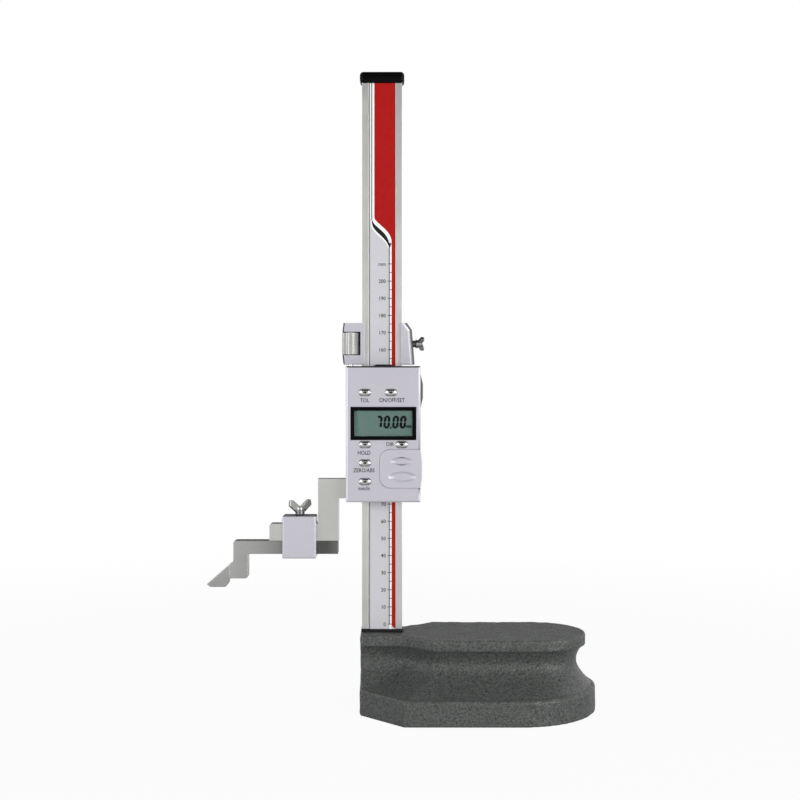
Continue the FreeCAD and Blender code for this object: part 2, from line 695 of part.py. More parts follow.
def make_frame():
    body = slab("frame_body", "XY_Plane",
                [("-frame_left", FRAME_FRONT), ("frame_right", FRAME_FRONT),
                 ("frame_right", FRAME_BACK), ("-frame_left", FRAME_BACK)],
                FRAME_BOTTOM, "%s - %s" % (FRAME_TOP, FRAME_BOTTOM))
    back = worth(FRAME_BACK)
    round_edges(body, "frame_back_round", "frame_round",
                lambda edge: straight_along(edge, "z") and near(edge.CenterOfMass.y, back))
    room = "slide_clearance"
    tools = [block("frame_passage",
                   ("-%s - %s" % (BEAM_SIDE, room), "%s - %s" % (BEAM_FRONT, room), FRAME_BOTTOM),
                   (GIB_SIDE, "%s + %s" % (BEAM_BACK, room), FRAME_TOP))]
    tools.append(block("frame_sensor_window",
                       ("-sensor_width / 2", FRAME_FRONT, "%s + sensor_inset" % BOARD_BOTTOM),
                       ("sensor_width / 2", "%s - %s" % (BEAM_FRONT, room), "%s - sensor_inset" % BOARD_TOP)))
    screws = []
    for number, (x, z) in enumerate(housing_screw_places()):
        depth = "%s - %s" % (FRAME_BACK, FRAME_FRONT)
        tools.append(rod("frame_screw_hole_%d" % number, (x, FRAME_FRONT, z), "Y",
                         "housing_screw_radius + part_clearance", depth))
        sink = "housing_screw_head_height + part_clearance"
        tools.append(rod("frame_screw_sink_%d" % number, (x, FRAME_BACK, z), "-Y",
                         "housing_screw_head_radius + part_clearance", sink))
        seat = (x, "%s - (%s)" % (FRAME_BACK, sink), z)
        length = "%s - (%s) + housing_screw_depth" % (depth, sink)
        screws.append(socket_screw("housing_screw_%d" % number, seat, "-Y", "Y",
                                   "housing_screw_radius", length,
                                   "housing_screw_head_radius", "housing_screw_head_height"))
    gib_screws = []
    for number, z in enumerate(gib_screw_heights()):
        start = (GIB_SIDE, 0, z)
        tools.append(rod("frame_gib_hole_%d" % number, start, "X", "gib_screw_radius + thread_clearance",
                         "frame_right - %s" % GIB_SIDE))
        screw = rod("gib_screw_blank_%d" % number, start, "X", "gib_screw_radius", "gib_screw_length")
        hex_start = ("%s + gib_screw_length - hex_socket_depth" % GIB_SIDE, 0, z)
        drive = hexagon("gib_screw_drive_%d" % number, hex_start, "X",
                        "gib_socket_radius", "hex_socket_depth")
        gib_screws.append(cut("gib_screw_%d" % number, screw, [drive]))
    tools.append(rod("frame_rod_hole", ("-rod_offset", "-rod_depth", FRAME_TOP), "-Z",
                     "rod_radius + thread_clearance", "rod_embed"))
    for number, (x, z) in enumerate(board_screw_places()):
        tools.append(rod("frame_board_hole_%d" % number, (x, FRAME_FRONT, z), "Y",
                         "board_screw_radius + thread_clearance", "board_screw_length"))
    for number, z in enumerate(jaw_screw_heights()):
        tools.append(rod("frame_jaw_hole_%d" % number, ("-frame_left", 0, z), "X",
                         "jaw_screw_radius + thread_clearance", "%s + thread_runout" % JAW_SCREW_GRIP))
    sub_part(cut("frame", body, tools), "slider_frame")
    sub_part(group("housing_screw_group", screws), "housing_screws")
    sub_part(group("gib_screw_group", gib_screws), "gib_screws")
    gib_low = ("%s + %s" % (BEAM_SIDE, room), "%s + gib_edge" % BEAM_FRONT, "%s + gib_inset" % FRAME_BOTTOM)
    gib_high = ("%s - %s" % (GIB_SIDE, room), "%s - gib_edge" % BEAM_BACK, "%s - gib_inset" % FRAME_TOP)
    sub_part(block("gib", gib_low, gib_high), "gib_strip")


# Measuring jaw

def jaw_screw_heights():
    middle = "(%s - jaw_arm_height / 2)" % JAW_TOP
    return ["%s + jaw_screw_spacing * %s" % (middle, side) for side in (-0.5, 0.5)]


def make_jaw():
    right = "(-jaw_left + jaw_width)"
    corners = [("-jaw_bar_left", SHANK_TOP), (right, SHANK_TOP)]
    corners += [(right, JAW_ARM_BOTTOM), ("-frame_left", JAW_ARM_BOTTOM)]
    corners += [("-frame_left", JAW_TOP), ("-jaw_left", JAW_TOP)]
    corners += [("-jaw_left", BAR_TOP), ("-jaw_bar_left", BAR_TOP)]
    body = slab("jaw_body", "XZ_Plane", corners, "-jaw_thickness / 2", "jaw_thickness")
    bar_end = worth("-jaw_bar_left")
    bar_top = worth(BAR_TOP)
    round_edges(body, "jaw_corner_round", "jaw_round",
                lambda edge: straight_along(edge, "y") and near(edge.CenterOfMass.x, bar_end)
                and near(edge.CenterOfMass.z, bar_top))
    tools = []
    screws = []
    for number, z in enumerate(jaw_screw_heights()):
        tools.append(rod("jaw_hole_%d" % number, ("-jaw_left", 0, z), "X",
                         "jaw_screw_radius + part_clearance", "jaw_left - frame_left"))
        tools.append(rod("jaw_counterbore_%d" % number, ("-jaw_left", 0, z), "X",
                         "jaw_screw_head_radius + part_clearance", "jaw_counterbore_depth"))
        screws.append(socket_screw("jaw_screw_%d" % number, (JAW_SEAT_X, "0", z), "X", "-X",
                                   "jaw_screw_radius", "jaw_screw_length",
                                   "jaw_screw_head_radius", "jaw_screw_head_height"))
    sub_part(cut("jaw", body, tools), "measuring_jaw")
    sub_part(group("jaw_screw_group", screws), "jaw_screws")


# Display housing and what it holds

BUTTONS = {
    "button_tolerance": ("-button_column", "top_button_rise"),
    "button_power": ("power_button_x", "top_button_rise"),
    "button_hold": ("-button_column", "hold_button_rise"),
    "button_direction": ("direction_button_x", "hold_button_rise"),
    "button_zero": ("-button_column", "zero_button_rise"),
    "button_unit": ("-button_column", "unit_button_rise"),
}


def oval(name, x, z, length, width, start, depth):
    """An oval plug with round ends, its flat sides up and down."""
    half = "(%s) / 2" % width
    run = "((%s) / 2 - %s)" % (length, half)
    corners = [("%s - %s" % (x, run), "%s - %s" % (z, half)), ("%s + %s" % (x, run), "%s - %s" % (z, half))]
    corners += [("%s + %s" % (x, run), "%s + %s" % (z, half)), ("%s - %s" % (x, run), "%s + %s" % (z, half))]
    centres = {1: ("%s + %s" % (x, run), z), 3: ("%s - %s" % (x, run), z)}
    return slab(name, "XZ_Plane", corners, "-(%s + %s)" % (start, depth), depth, centres)


def cover_outline(extra):
    """The battery cover's D shape, seen from the front, with some room added round it."""
    low = "(%s - %s)" % (COVER_BOTTOM, extra)
    high = "(%s + cover_height + %s)" % (COVER_BOTTOM, extra)
    left = "(-cover_left - %s)" % extra
    corners = [("%s + cover_round" % left, low), ("housing_right", low), ("housing_right", high)]
    corners += [("%s + cover_round" % left, high), (left, "%s - cover_round" % high)]
    corners += [(left, "%s + cover_round" % low)]
    centre_x = "%s + cover_round" % left
    return corners, {3: (centre_x, "%s - cover_round" % high), 5: (centre_x, "%s + cover_round" % low)}


def make_posts():
    """The screw posts inside the housing, cut back where a button's flange and pad need the room."""
    depth = "%s - %s" % (FRAME_FRONT, HOUSING_INNER)
    posts = []
    for number, (x, z) in enumerate(housing_screw_places()):
        posts.append(rod("housing_boss_%d" % number, (x, HOUSING_INNER, z), "Y", "boss_radius", depth))
    pockets = []
    for label, (x, rise) in BUTTONS.items():
        z = "(%s + %s)" % (HOUSING_BOTTOM, rise)
        pockets.append(oval(label + "_pocket", x, z,
                            "(button_length + 2 * (button_flange + button_clearance))",
                            "(button_width + 2 * (button_flange + button_clearance))",
                            HOUSING_INNER, "%s - %s" % (BOARD_FRONT, HOUSING_INNER)))
    return cut("housing_posts", fuse("housing_bosses", posts), pockets)


def make_housing():
    left = "-housing_left"
    right = "housing_right"
    wall = "housing_wall"
    body = slab("housing_body", "XZ_Plane",
                [(left, HOUSING_BOTTOM), (right, HOUSING_BOTTOM), (right, HOUSING_TOP), (left, HOUSING_TOP)],
                "-" + FRAME_FRONT, "housing_depth")
    front = worth(HOUSING_FRONT)
    round_edges(body, "housing_front_round", "housing_round",
                lambda edge: near(edge.BoundBox.YMin, front) and near(edge.BoundBox.YMax, front))
    hollow = block("housing_hollow",
                   ("%s + %s" % (left, wall), HOUSING_INNER, "%s + %s" % (HOUSING_BOTTOM, wall)),
                   ("%s - %s" % (right, wall), FRAME_FRONT, "%s - %s" % (HOUSING_TOP, wall)))
    shell = cut("housing_shell", body, [hollow])
    bay = block("battery_bay",
                ("%s - cell_radius - cell_clearance - bay_wall" % CELL_X, HOUSING_INNER, COVER_BOTTOM),
                ("housing_right - %s" % wall, BAY_BACK, "%s + cover_height" % COVER_BOTTOM))
    solid = fuse("housing_solid", [shell, bay, make_posts()])
    tools = []
    room = "part_clearance"
    tools.append(block("bezel_recess",
                       ("-bezel_left - %s" % room, HOUSING_FRONT, "%s - %s" % (BEZEL_BOTTOM, room)),
                       ("bezel_right + %s" % room, LENS_BACK,
                        "%s + bezel_height + %s" % (BEZEL_BOTTOM, room))))
    tools.append(block("window",
                       ("-bezel_left + window_ledge", HOUSING_FRONT, "%s + window_ledge" % BEZEL_BOTTOM),
                       ("bezel_right - window_ledge", HOUSING_INNER,
                        "%s + bezel_height - window_ledge" % BEZEL_BOTTOM)))
    for label, (x, rise) in BUTTONS.items():
        z = "(%s + %s)" % (HOUSING_BOTTOM, rise)
        tools.append(oval(label + "_hole", x, z, "(button_length + 2 * button_clearance)",
                          "(button_width + 2 * button_clearance)", HOUSING_FRONT, "housing_wall"))
    recess_corners, recess_arcs = cover_outline("part_clearance")
    tools.append(slab("cover_recess", "XZ_Plane", recess_corners, "-" + COVER_BACK,
                      "%s - %s" % (COVER_BACK, HOUSING_FRONT), recess_arcs))
    side_low = "(%s - %s)" % (COVER_BOTTOM, room)
    side_high = "(%s + cover_height + %s)" % (COVER_BOTTOM, room)
    tools.append(block("cover_side_recess",
                       ("housing_right - housing_wall / 2", HOUSING_FRONT, side_low),
                       ("housing_right", "%s + cover_side_depth + %s" % (HOUSING_FRONT, room), side_high)))
    tools.append(rod("cell_pocket", (CELL_X, HOUSING_FRONT, CELL_Z), "Y", "cell_radius + cell_clearance",
                     "%s - bay_floor - %s" % (BAY_BACK, HOUSING_FRONT)))
    port_low = "(%s + port_rise - %s)" % (HOUSING_BOTTOM, room)
    port_high = "(%s + port_rise + port_height + %s)" % (HOUSING_BOTTOM, room)
    port_front = "%s - port_back_edge - port_depth - %s" % (FRAME_FRONT, room)
    tools.append(block("port_opening",
                       ("housing_right - housing_wall", port_front, port_low),
                       ("housing_right", "%s - port_back_edge + %s" % (FRAME_FRONT, room), port_high)))
    wiper_front = "%s - wiper_thickness - %s" % (FRAME_FRONT, room)
    tools.append(block("wiper_slot",
                       ("-wiper_left - %s" % room, wiper_front, "%s - wiper_height" % HOUSING_TOP),
                       ("wiper_right + %s" % room, FRAME_FRONT, HOUSING_TOP)))
    for number, (x, z) in enumerate(housing_screw_places()):
        tools.append(rod("housing_thread_%d" % number, (x, FRAME_FRONT, z), "-Y",
                         "housing_screw_radius + thread_clearance", "housing_screw_depth + thread_runout"))
    sub_part(cut("housing", solid, tools), "display_housing")


def make_display():
    low_x = "-bezel_left"
    high_x = "bezel_right"
    low_z = BEZEL_BOTTOM
    high_z = "(%s + bezel_height)" % BEZEL_BOTTOM
    plate = block("bezel_plate", (low_x, HOUSING_FRONT, low_z), (high_x, BEZEL_BACK, high_z))
    opening = block("bezel_opening", ("%s + bezel_rim" % low_x, HOUSING_FRONT, "%s + bezel_rim" % low_z),
                    ("%s - bezel_rim" % high_x, BEZEL_BACK, "%s - bezel_rim" % high_z))
    sub_part(cut("bezel", plate, [opening]), "display_bezel")
    sub_part(block("lens", (low_x, BEZEL_BACK, low_z), (high_x, LENS_BACK, high_z)), "display_lens")
    low_z = "(%s + lcd_inset)" % low_z
    high_z = "(%s - lcd_inset)" % high_z
    sub_part(block("lcd", (low_x, LCD_FRONT, low_z), (high_x, LCD_BACK, high_z)), "lcd_panel")
    strips = []
    for number, start in enumerate((low_z, "%s - contact_strip_height" % high_z)):
        strips.append(block("contact_strip_%d" % number,
                            ("%s + contact_strip_inset" % low_x, LCD_BACK, start),
                            ("%s - contact_strip_inset" % high_x, BOARD_FRONT,
                             "%s + contact_strip_height" % start)))
    sub_part(group("contact_strip_group", strips), "lcd_contact_strips")


def make_board():
    board = block("board_blank", ("-board_left", BOARD_FRONT, BOARD_BOTTOM),
                  ("board_right", FRAME_FRONT, BOARD_TOP))
    holes = []
    screws = []
    for number, (x, z) in enumerate(board_screw_places()):
        holes.append(rod("board_hole_%d" % number, (x, BOARD_FRONT, z), "Y",
                         "board_screw_radius + part_clearance", "board_thickness"))
        shank = rod("board_screw_shank_%d" % number, (x, BOARD_FRONT, z), "Y", "board_screw_radius",
                    "board_thickness + board_screw_length - thread_runout")
        head = rod("board_screw_head_%d" % number, (x, BOARD_FRONT, z), "-Y", "board_screw_head_radius",
                   "board_screw_head_height")
        screws.append(fuse("board_screw_%d" % number, [shank, head]))
    sub_part(cut("board", board, holes), "circuit_board")
    sub_part(group("board_screw_group", screws), "board_screws")
    pad_front = "(%s - pad_thickness)" % BOARD_FRONT
    pads = []
    for label, (x, rise) in BUTTONS.items():
        z = "(%s + %s)" % (HOUSING_BOTTOM, rise)
        pads.append(oval(label + "_dome", x, z, "button_length", "button_width", pad_front, "pad_thickness"))
    sub_part(group("button_pad_group", pads), "button_pad")


def make_buttons():
    """Each button is a cap in its hole, a flange behind the wall and a stem towards the pad."""
    for label, (x, rise) in BUTTONS.items():
        z = "(%s + %s)" % (HOUSING_BOTTOM, rise)
        cap_front = "(%s - button_proud)" % HOUSING_FRONT
        flange_front = "(%s + button_clearance)" % HOUSING_INNER
        cap = oval(label + "_cap", x, z, "button_length", "button_width", cap_front,
                   "%s - %s" % (flange_front, cap_front))
        flange = oval(label + "_flange", x, z, "(button_length + 2 * button_flange)",
                      "(button_width + 2 * button_flange)", flange_front, "button_flange_thickness")
        stem_end = "(%s - pad_thickness - button_travel - part_clearance)" % BOARD_FRONT
        stem = rod(label + "_stem", (x, flange_front, z), "Y", "button_stem_radius",
                   "%s - %s" % (stem_end, flange_front))
        sub_part(fuse(label + "_solid", [cap, flange, stem]), label)


def make_battery():
    sub_part(rod("cell", (CELL_X, CELL_FRONT, CELL_Z), "Y", "cell_radius", "cell_thickness"), "coin_cell")
    under = block("contact_under",
                  ("%s - contact_left" % CELL_X, CELL_BACK, "%s - contact_width / 2" % CELL_Z),
                  ("%s + contact_right" % CELL_X, "%s + contact_thickness" % CELL_BACK,
                   "%s + contact_width / 2" % CELL_Z))
    sub_part(under, "battery_contact")
    corners, arcs = cover_outline("0")
    plate = slab("cover_plate", "XZ_Plane", corners, "-" + COVER_BACK, "cover_thickness", arcs)
    high = "(%s + cover_height)" % COVER_BOTTOM
    side_x = "(housing_right - housing_wall / 2 + part_clearance)"
    bow = "(housing_right + cover_bulge)"
    side = new_body("cover_side")
    sketch = new_sketch(side, "cover_side_outline", "XZ_Plane", "-(%s + cover_side_depth)" % HOUSING_FRONT)
    side_corners = [(side_x, COVER_BOTTOM), ("housing_right", COVER_BOTTOM)]
    side_corners += [(bow, "%s + cover_bulge_inset" % COVER_BOTTOM), (bow, "%s - cover_bulge_inset" % high)]
    side_corners += [("housing_right", high), (side_x, high)]
    draw_loop(sketch, side_corners)
    pad(side, sketch, "cover_side_pad", "cover_side_depth + cover_proud")
    sub_part(fuse("cover", [plate, side]), "battery_cover")


def make_trim():
    low = "(%s + port_rise)" % HOUSING_BOTTOM
    high = "(%s + port_height)" % low
    inner = "(housing_right - housing_wall)"
    bow = "(housing_right + port_bulge)"
    corners = [(inner, low), ("housing_right", low), (bow, "%s + port_bulge_inset" % low)]
    corners += [(bow, "%s - port_bulge_inset" % high), ("housing_right", high), (inner, high)]
    sub_part(slab("port_body", "XZ_Plane", corners, "-(%s - port_back_edge)" % FRAME_FRONT, "port_depth"),
             "data_port_cover")
    top = HOUSING_TOP
    corners = [("-wiper_left", "%s - wiper_height" % top), ("wiper_right", "%s - wiper_height" % top)]
    corners += [("wiper_right", top), ("wiper_right - wiper_slope", "%s + wiper_proud" % top)]
    corners += [("-wiper_left + wiper_slope", "%s + wiper_proud" % top), ("-wiper_left", top)]
    sub_part(slab("wiper_body", "XZ_Plane", corners, "-" + FRAME_FRONT, "wiper_thickness"), "top_wiper")


# Fine feed

def make_rod():
    x, y = "-rod_offset", "-rod_depth"
    bottom = "(%s - rod_embed)" % FRAME_TOP
    shaft = rod("feed_rod_shaft", (x, y, bottom), "Z", "rod_radius",
                "%s + rod_rise - %s" % (CARRIAGE_BOTTOM, bottom))
    collar = rod("feed_rod_collar", (x, y, FRAME_TOP), "Z", "rod_collar_radius", "rod_collar_height")
    sub_part(fuse("feed_rod", [shaft, collar]), "fine_feed_rod")


def make_carriage():
    middle = CARRIAGE_MIDDLE
    corners = [("-carriage_left", CARRIAGE_BOTTOM), ("carriage_right_bottom", CARRIAGE_BOTTOM)]
    corners += [("carriage_right_top", "%s - carriage_corner" % CARRIAGE_TOP)]
    corners += [("carriage_right_top - carriage_corner_run", CARRIAGE_TOP), ("-carriage_left", CARRIAGE_TOP)]
    corners += [("-carriage_left - carriage_bulge", "%s + carriage_bulge_half" % middle)]
    corners += [("-carriage_left - carriage_bulge", "%s - carriage_bulge_half" % middle)]
    body = slab("carriage_blank", "XZ_Plane", corners, "-" + CARRIAGE_BACK,
                "%s - %s" % (CARRIAGE_BACK, CARRIAGE_FRONT))
    room = "slide_clearance"
    tools = [block("carriage_passage",
                   ("-%s - %s" % (BEAM_SIDE, room), "%s - %s" % (BEAM_FRONT, room), CARRIAGE_BOTTOM),
                   ("%s + %s" % (BEAM_SIDE, room), "%s + %s" % (BEAM_BACK, room), CARRIAGE_TOP))]
    tools.append(block("carriage_front_gap", ("-carriage_lip_left", CARRIAGE_FRONT, CARRIAGE_BOTTOM),
                       ("carriage_lip_right", "%s - %s" % (BEAM_FRONT, room), CARRIAGE_TOP)))
    window_right = "(-rod_offset + nut_radius + nut_side_clearance)"
    tools.append(block("nut_window",
                       ("-carriage_left - carriage_bulge", CARRIAGE_FRONT,
                        "%s - nut_end_clearance" % NUT_BOTTOM),
                       (window_right, "-rod_depth + nut_radius + nut_side_clearance",
                        "%s + nut_height + nut_end_clearance" % NUT_BOTTOM)))
    tools.append(rod("carriage_rod_hole", ("-rod_offset", "-rod_depth", CARRIAGE_BOTTOM), "Z",
                     "rod_radius + part_clearance", "carriage_height"))
    tools.append(rod("carriage_lock_hole", (BEAM_SIDE, 0, middle), "X",
                     "lock_screw_radius + thread_clearance", "carriage_right_bottom - %s" % BEAM_SIDE))
    sub_part(cut("carriage", body, tools), "carriage_body")
    pad_x = "(%s + slide_clearance)" % BEAM_SIDE
    sub_part(rod("lock_pad_disc", (pad_x, 0, middle), "X", "lock_screw_radius", "lock_pad_thickness"),
             "lock_pad")
    seat_x = "(carriage_right_bottom + lock_head_gap)"
    length = "%s - %s - lock_pad_thickness - part_clearance" % (seat_x, pad_x)
    screw = wing_screw("lock_screw_body", (seat_x, 0, middle), "X", "lock", length, worth("lock_wing_angle"))
    sub_part(screw, "lock_screw")


def make_nut():
    x, y = "-rod_offset", "-rod_depth"
    blank = rod("feed_nut_blank", (x, y, NUT_BOTTOM), "Z", "nut_radius", "nut_height")
    bore = rod("feed_nut_bore", (x, y, NUT_BOTTOM), "Z", "rod_radius + thread_clearance", "nut_height")
    sub_part(cut("feed_nut", blank, [bore]), "fine_feed_nut")


# Scriber and clamp

def make_scriber():
    heel_x = "(-scriber_left + scriber_leg_width)"
    leg_bottom = "(reading + scriber_leg_rise)"
    slope = "((scriber_slope_rise - tip_point_rise) / (tip_point_x - scriber_left))"
    joint_z = "(reading + scriber_slope_rise - (tip_joint_x - scriber_left) * %s)" % slope
    corners = [("-scriber_left + scriber_top_corner", SHANK_TOP)]
    corners += [("-scriber_left", "%s - scriber_top_drop" % SHANK_TOP)]
    corners += [("-scriber_left", "reading + scriber_slope_rise"), ("-tip_joint_x", joint_z)]
    corners += [("-tip_joint_x", leg_bottom), ("%s - scriber_heel" % heel_x, leg_bottom)]
    corners += [(heel_x, "%s + scriber_heel" % leg_bottom), (heel_x, SHANK_BOTTOM)]
    corners += [("-shank_right", SHANK_BOTTOM), ("-shank_right", SHANK_TOP)]
    body = slab("shank_body", "XZ_Plane", corners, "-jaw_thickness / 2", "jaw_thickness")
    sub_part(body, "scriber_shank")
    corners = [("-tip_joint_x", joint_z), ("-tip_point_x", "reading + tip_point_rise")]
    corners += [("-tip_face_left", "reading"), ("-tip_face_right", "reading")]
    corners += [("-tip_heel_x", "reading + tip_heel_rise")]
    corners += [("-tip_heel_x", leg_bottom), ("-tip_joint_x", leg_bottom)]
    sub_part(slab("tip_body", "XZ_Plane", corners, "-jaw_thickness / 2", "jaw_thickness"), "scriber_tip")


def make_clamp():
    half = "clamp_width / 2"
    side = "(jaw_thickness / 2 + slide_clearance + clamp_side_wall)"
    corners = [("-clamp_centre - %s" % half, "-" + side), ("-clamp_centre + %s" % half, "-" + side)]
    corners += [("-clamp_centre + %s" % half, side), ("-clamp_centre - %s" % half, side)]
    body = slab("clamp_blank", "XY_Plane", corners, CLAMP_BOTTOM, "%s - %s" % (CLAMP_TOP, CLAMP_BOTTOM))
    round_edges(body, "clamp_edge_round", "clamp_round", lambda edge: True)
    inner = "(jaw_thickness / 2 + slide_clearance)"
    passage = block("clamp_passage",
                    ("-clamp_centre - %s" % half, "-" + inner, "%s - slide_clearance" % SHANK_BOTTOM),
                    ("-clamp_centre + %s" % half, inner, CLAMP_INNER_TOP))
    thread = rod("clamp_thread", ("-clamp_centre", 0, CLAMP_INNER_TOP), "Z",
                 "clamp_screw_radius + thread_clearance", "clamp_top_wall")
    sub_part(cut("clamp", body, [passage, thread]), "clamp_box")
    seat = "(%s + clamp_head_gap)" % CLAMP_TOP
    length = "%s - %s - part_clearance" % (seat, BAR_TOP)
    screw = wing_screw("clamp_screw_body", ("-clamp_centre", 0, seat), "Z", "clamp", length,
                       worth("clamp_wing_angle"))
    sub_part(screw, "clamp_screw")


def check_and_write():
    """Stop on a failed object or a bad solid, then write every sub-part."""
    doc.recompute()
    for item in doc.Objects:
        if "Invalid" in item.State or "Error" in item.State:
            raise RuntimeError("%s failed to build: %s" % (item.Name, item.getStatusString()))
    for item in sub_parts:
        if item.Shape.isNull() or not item.Shape.isValid():
            raise RuntimeError("%s has no valid solid" % item.Label)
        if not item.Shape.Solids:
            raise RuntimeError("%s holds no solid" % item.Label)
    os.makedirs("parts", exist_ok=True)
    for item in sub_parts:
        item.Shape.exportStep("parts/%s.step" % item.Label)
        print(item.Label, len(item.Shape.Solids), round(item.Shape.Volume, 2))


make_sheet()
gauge = make_gauge()
make_base()
make_column()
make_cap()
make_frame()
make_jaw()
make_housing()
make_display()
make_board()
make_buttons()
make_battery()
make_trim()
make_rod()
make_carriage()
make_nut()
make_scriber()
make_clamp()
check_and_write()
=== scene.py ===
import math

import bmesh
import bpy
from mathutils import Matrix, Vector, geometry, noise


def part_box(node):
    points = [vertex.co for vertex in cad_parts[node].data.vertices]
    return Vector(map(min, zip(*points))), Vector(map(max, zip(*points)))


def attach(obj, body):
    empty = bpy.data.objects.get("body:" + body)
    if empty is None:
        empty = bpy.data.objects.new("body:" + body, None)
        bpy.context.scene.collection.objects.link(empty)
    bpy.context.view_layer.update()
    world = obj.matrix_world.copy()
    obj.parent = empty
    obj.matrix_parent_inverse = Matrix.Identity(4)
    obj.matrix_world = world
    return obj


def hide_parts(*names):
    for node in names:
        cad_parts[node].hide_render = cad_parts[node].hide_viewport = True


# Digital height gauge: finishes, printed film, keys, knurled nut and wing screws. Metres, +Z up, -Y towards the user.

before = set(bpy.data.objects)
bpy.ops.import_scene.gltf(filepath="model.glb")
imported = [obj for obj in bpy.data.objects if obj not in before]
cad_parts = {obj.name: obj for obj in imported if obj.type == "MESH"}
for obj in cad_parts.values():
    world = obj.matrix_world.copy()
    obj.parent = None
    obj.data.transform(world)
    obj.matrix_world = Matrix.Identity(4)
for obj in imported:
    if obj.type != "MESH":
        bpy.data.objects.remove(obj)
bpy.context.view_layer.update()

MM = 0.001
X, Z = 0, 2
# the point that the lamps and cards face
MIDDLE = Vector((0.0, 0.0, 0.16))


# Shader helpers

def put(tree, kind, inputs=None, **settings):
    """Add a node; inputs maps sockets to plain values or to the sockets that feed them."""
    node = tree.nodes.new(kind)
    for key, value in settings.items():
        setattr(node, key, value)
    for key, value in (inputs or {}).items():
        if isinstance(value, bpy.types.NodeSocket):
            tree.links.new(value, node.inputs[key])
        else:
            node.inputs[key].default_value = value
    return node


def new_group(name, inputs, outputs):
    """An empty shader group; inputs are (name, kind, default) and outputs are names of plain values."""
    tree = bpy.data.node_groups.new(name, "ShaderNodeTree")
    for label, kind, default in inputs:
        socket = tree.interface.new_socket(name=label, in_out="INPUT", socket_type=kind)
        if default is not None:
            socket.default_value = default
    for label in outputs:
        tree.interface.new_socket(name=label, in_out="OUTPUT", socket_type="NodeSocketFloat")
    return tree, tree.nodes.new("NodeGroupInput"), tree.nodes.new("NodeGroupOutput")


def make_grain():
    """Streaks left by grinding: noise that is stretched along one direction."""
    tree, source, result = new_group(
        "ground_grain",
        [("Vector", "NodeSocketVector", None), ("Lines", "NodeSocketVector", (1000.0, 1000.0, 10.0))],
        ["Shade", "Height"])
    along = put(tree, "ShaderNodeVectorMath", {0: source.outputs["Vector"], 1: source.outputs["Lines"]},
                operation="MULTIPLY")
    fine = put(tree, "ShaderNodeTexNoise", {"Vector": along.outputs[0], "Scale": 1.0, "Detail": 3.0})
    broad = put(tree, "ShaderNodeTexNoise", {"Vector": along.outputs[0], "Scale": 0.13, "Detail": 2.0})
    half = put(tree, "ShaderNodeMath", {0: broad.outputs["Fac"], 1: 0.5}, operation="MULTIPLY")
    shade = put(tree, "ShaderNodeMath", {0: fine.outputs["Fac"], 1: 0.5, 2: half.outputs[0]},
                operation="MULTIPLY_ADD")
    tree.links.new(shade.outputs[0], result.inputs["Shade"])
    tree.links.new(fine.outputs["Fac"], result.inputs["Height"])
    return tree


def make_mottle():
    """Slow, cloudy variation between two values, as handling and polishing leave it."""
    tree, source, result = new_group(
        "handled_surface",
        [("Vector", "NodeSocketVector", None), ("Scale", "NodeSocketFloat", 60.0),
         ("Low", "NodeSocketFloat", 0.0), ("High", "NodeSocketFloat", 1.0)],
        ["Value"])
    cloud = put(tree, "ShaderNodeTexNoise", {"Vector": source.outputs["Vector"], "Scale": source.outputs["Scale"],
                                             "Detail": 4.0, "Roughness": 0.6})
    spread = put(tree, "ShaderNodeMapRange", {"Value": cloud.outputs["Fac"], "From Min": 0.3, "From Max": 0.7,
                                              "To Min": source.outputs["Low"], "To Max": source.outputs["High"]})
    tree.links.new(spread.outputs["Result"], result.inputs["Value"])
    return tree


def make_edge_wear_and_highlight():
    """A mask bright along outer edges, broken up by noise: partly wear where a finish is thin and polished, partly a
    painted highlight.
    """
    tree, source, result = new_group(
        "edge_wear_and_highlight",
        [("Vector", "NodeSocketVector", None), ("Radius", "NodeSocketFloat", 0.0005),
         ("Gain", "NodeSocketFloat", 6.0)],
        ["Mask"])
    rounded = put(tree, "ShaderNodeBevel", {"Radius": source.outputs["Radius"]}, samples=4)
    plain = put(tree, "ShaderNodeNewGeometry")
    facing = put(tree, "ShaderNodeVectorMath", {0: rounded.outputs[0], 1: plain.outputs["Normal"]},
                 operation="DOT_PRODUCT")
    turned = put(tree, "ShaderNodeMath", {0: 1.0, 1: facing.outputs["Value"]}, operation="SUBTRACT")
    broken = put(tree, "ShaderNodeTexNoise", {"Vector": source.outputs["Vector"], "Scale": 700.0, "Detail": 2.0})
    patchy = put(tree, "ShaderNodeMath", {0: turned.outputs[0], 1: broken.outputs["Fac"]}, operation="MULTIPLY")
    gained = put(tree, "ShaderNodeMath", {0: patchy.outputs[0], 1: source.outputs["Gain"]}, operation="MULTIPLY",
                 use_clamp=True)
    tree.links.new(gained.outputs[0], result.inputs["Mask"])
    return tree


GRAIN = make_grain()
MOTTLE = make_mottle()
EDGE_WEAR_AND_HIGHLIGHT = make_edge_wear_and_highlight()


def new_material(name, **plain):
    """A material with its shader; plain sets the sockets that are the same all over."""
    item = bpy.data.materials.new(name)
    item.use_nodes = True
    tree = item.node_tree
    shader = tree.nodes["Principled BSDF"]
    for key, value in plain.items():
        shader.inputs[key.replace("_", " ")].default_value = value
    spot = put(tree, "ShaderNodeTexCoord").outputs["Object"]
    return item, tree, shader, spot


def feed_shader(tree, shader, colour, gloss, relief):
    """Connect what varies over the surface: colour, roughness and relief."""
    tree.links.new(colour, shader.inputs["Base Color"])
    tree.links.new(gloss.outputs["Value"], shader.inputs["Roughness"])
    tree.links.new(relief.outputs["Normal"], shader.inputs["Normal"])


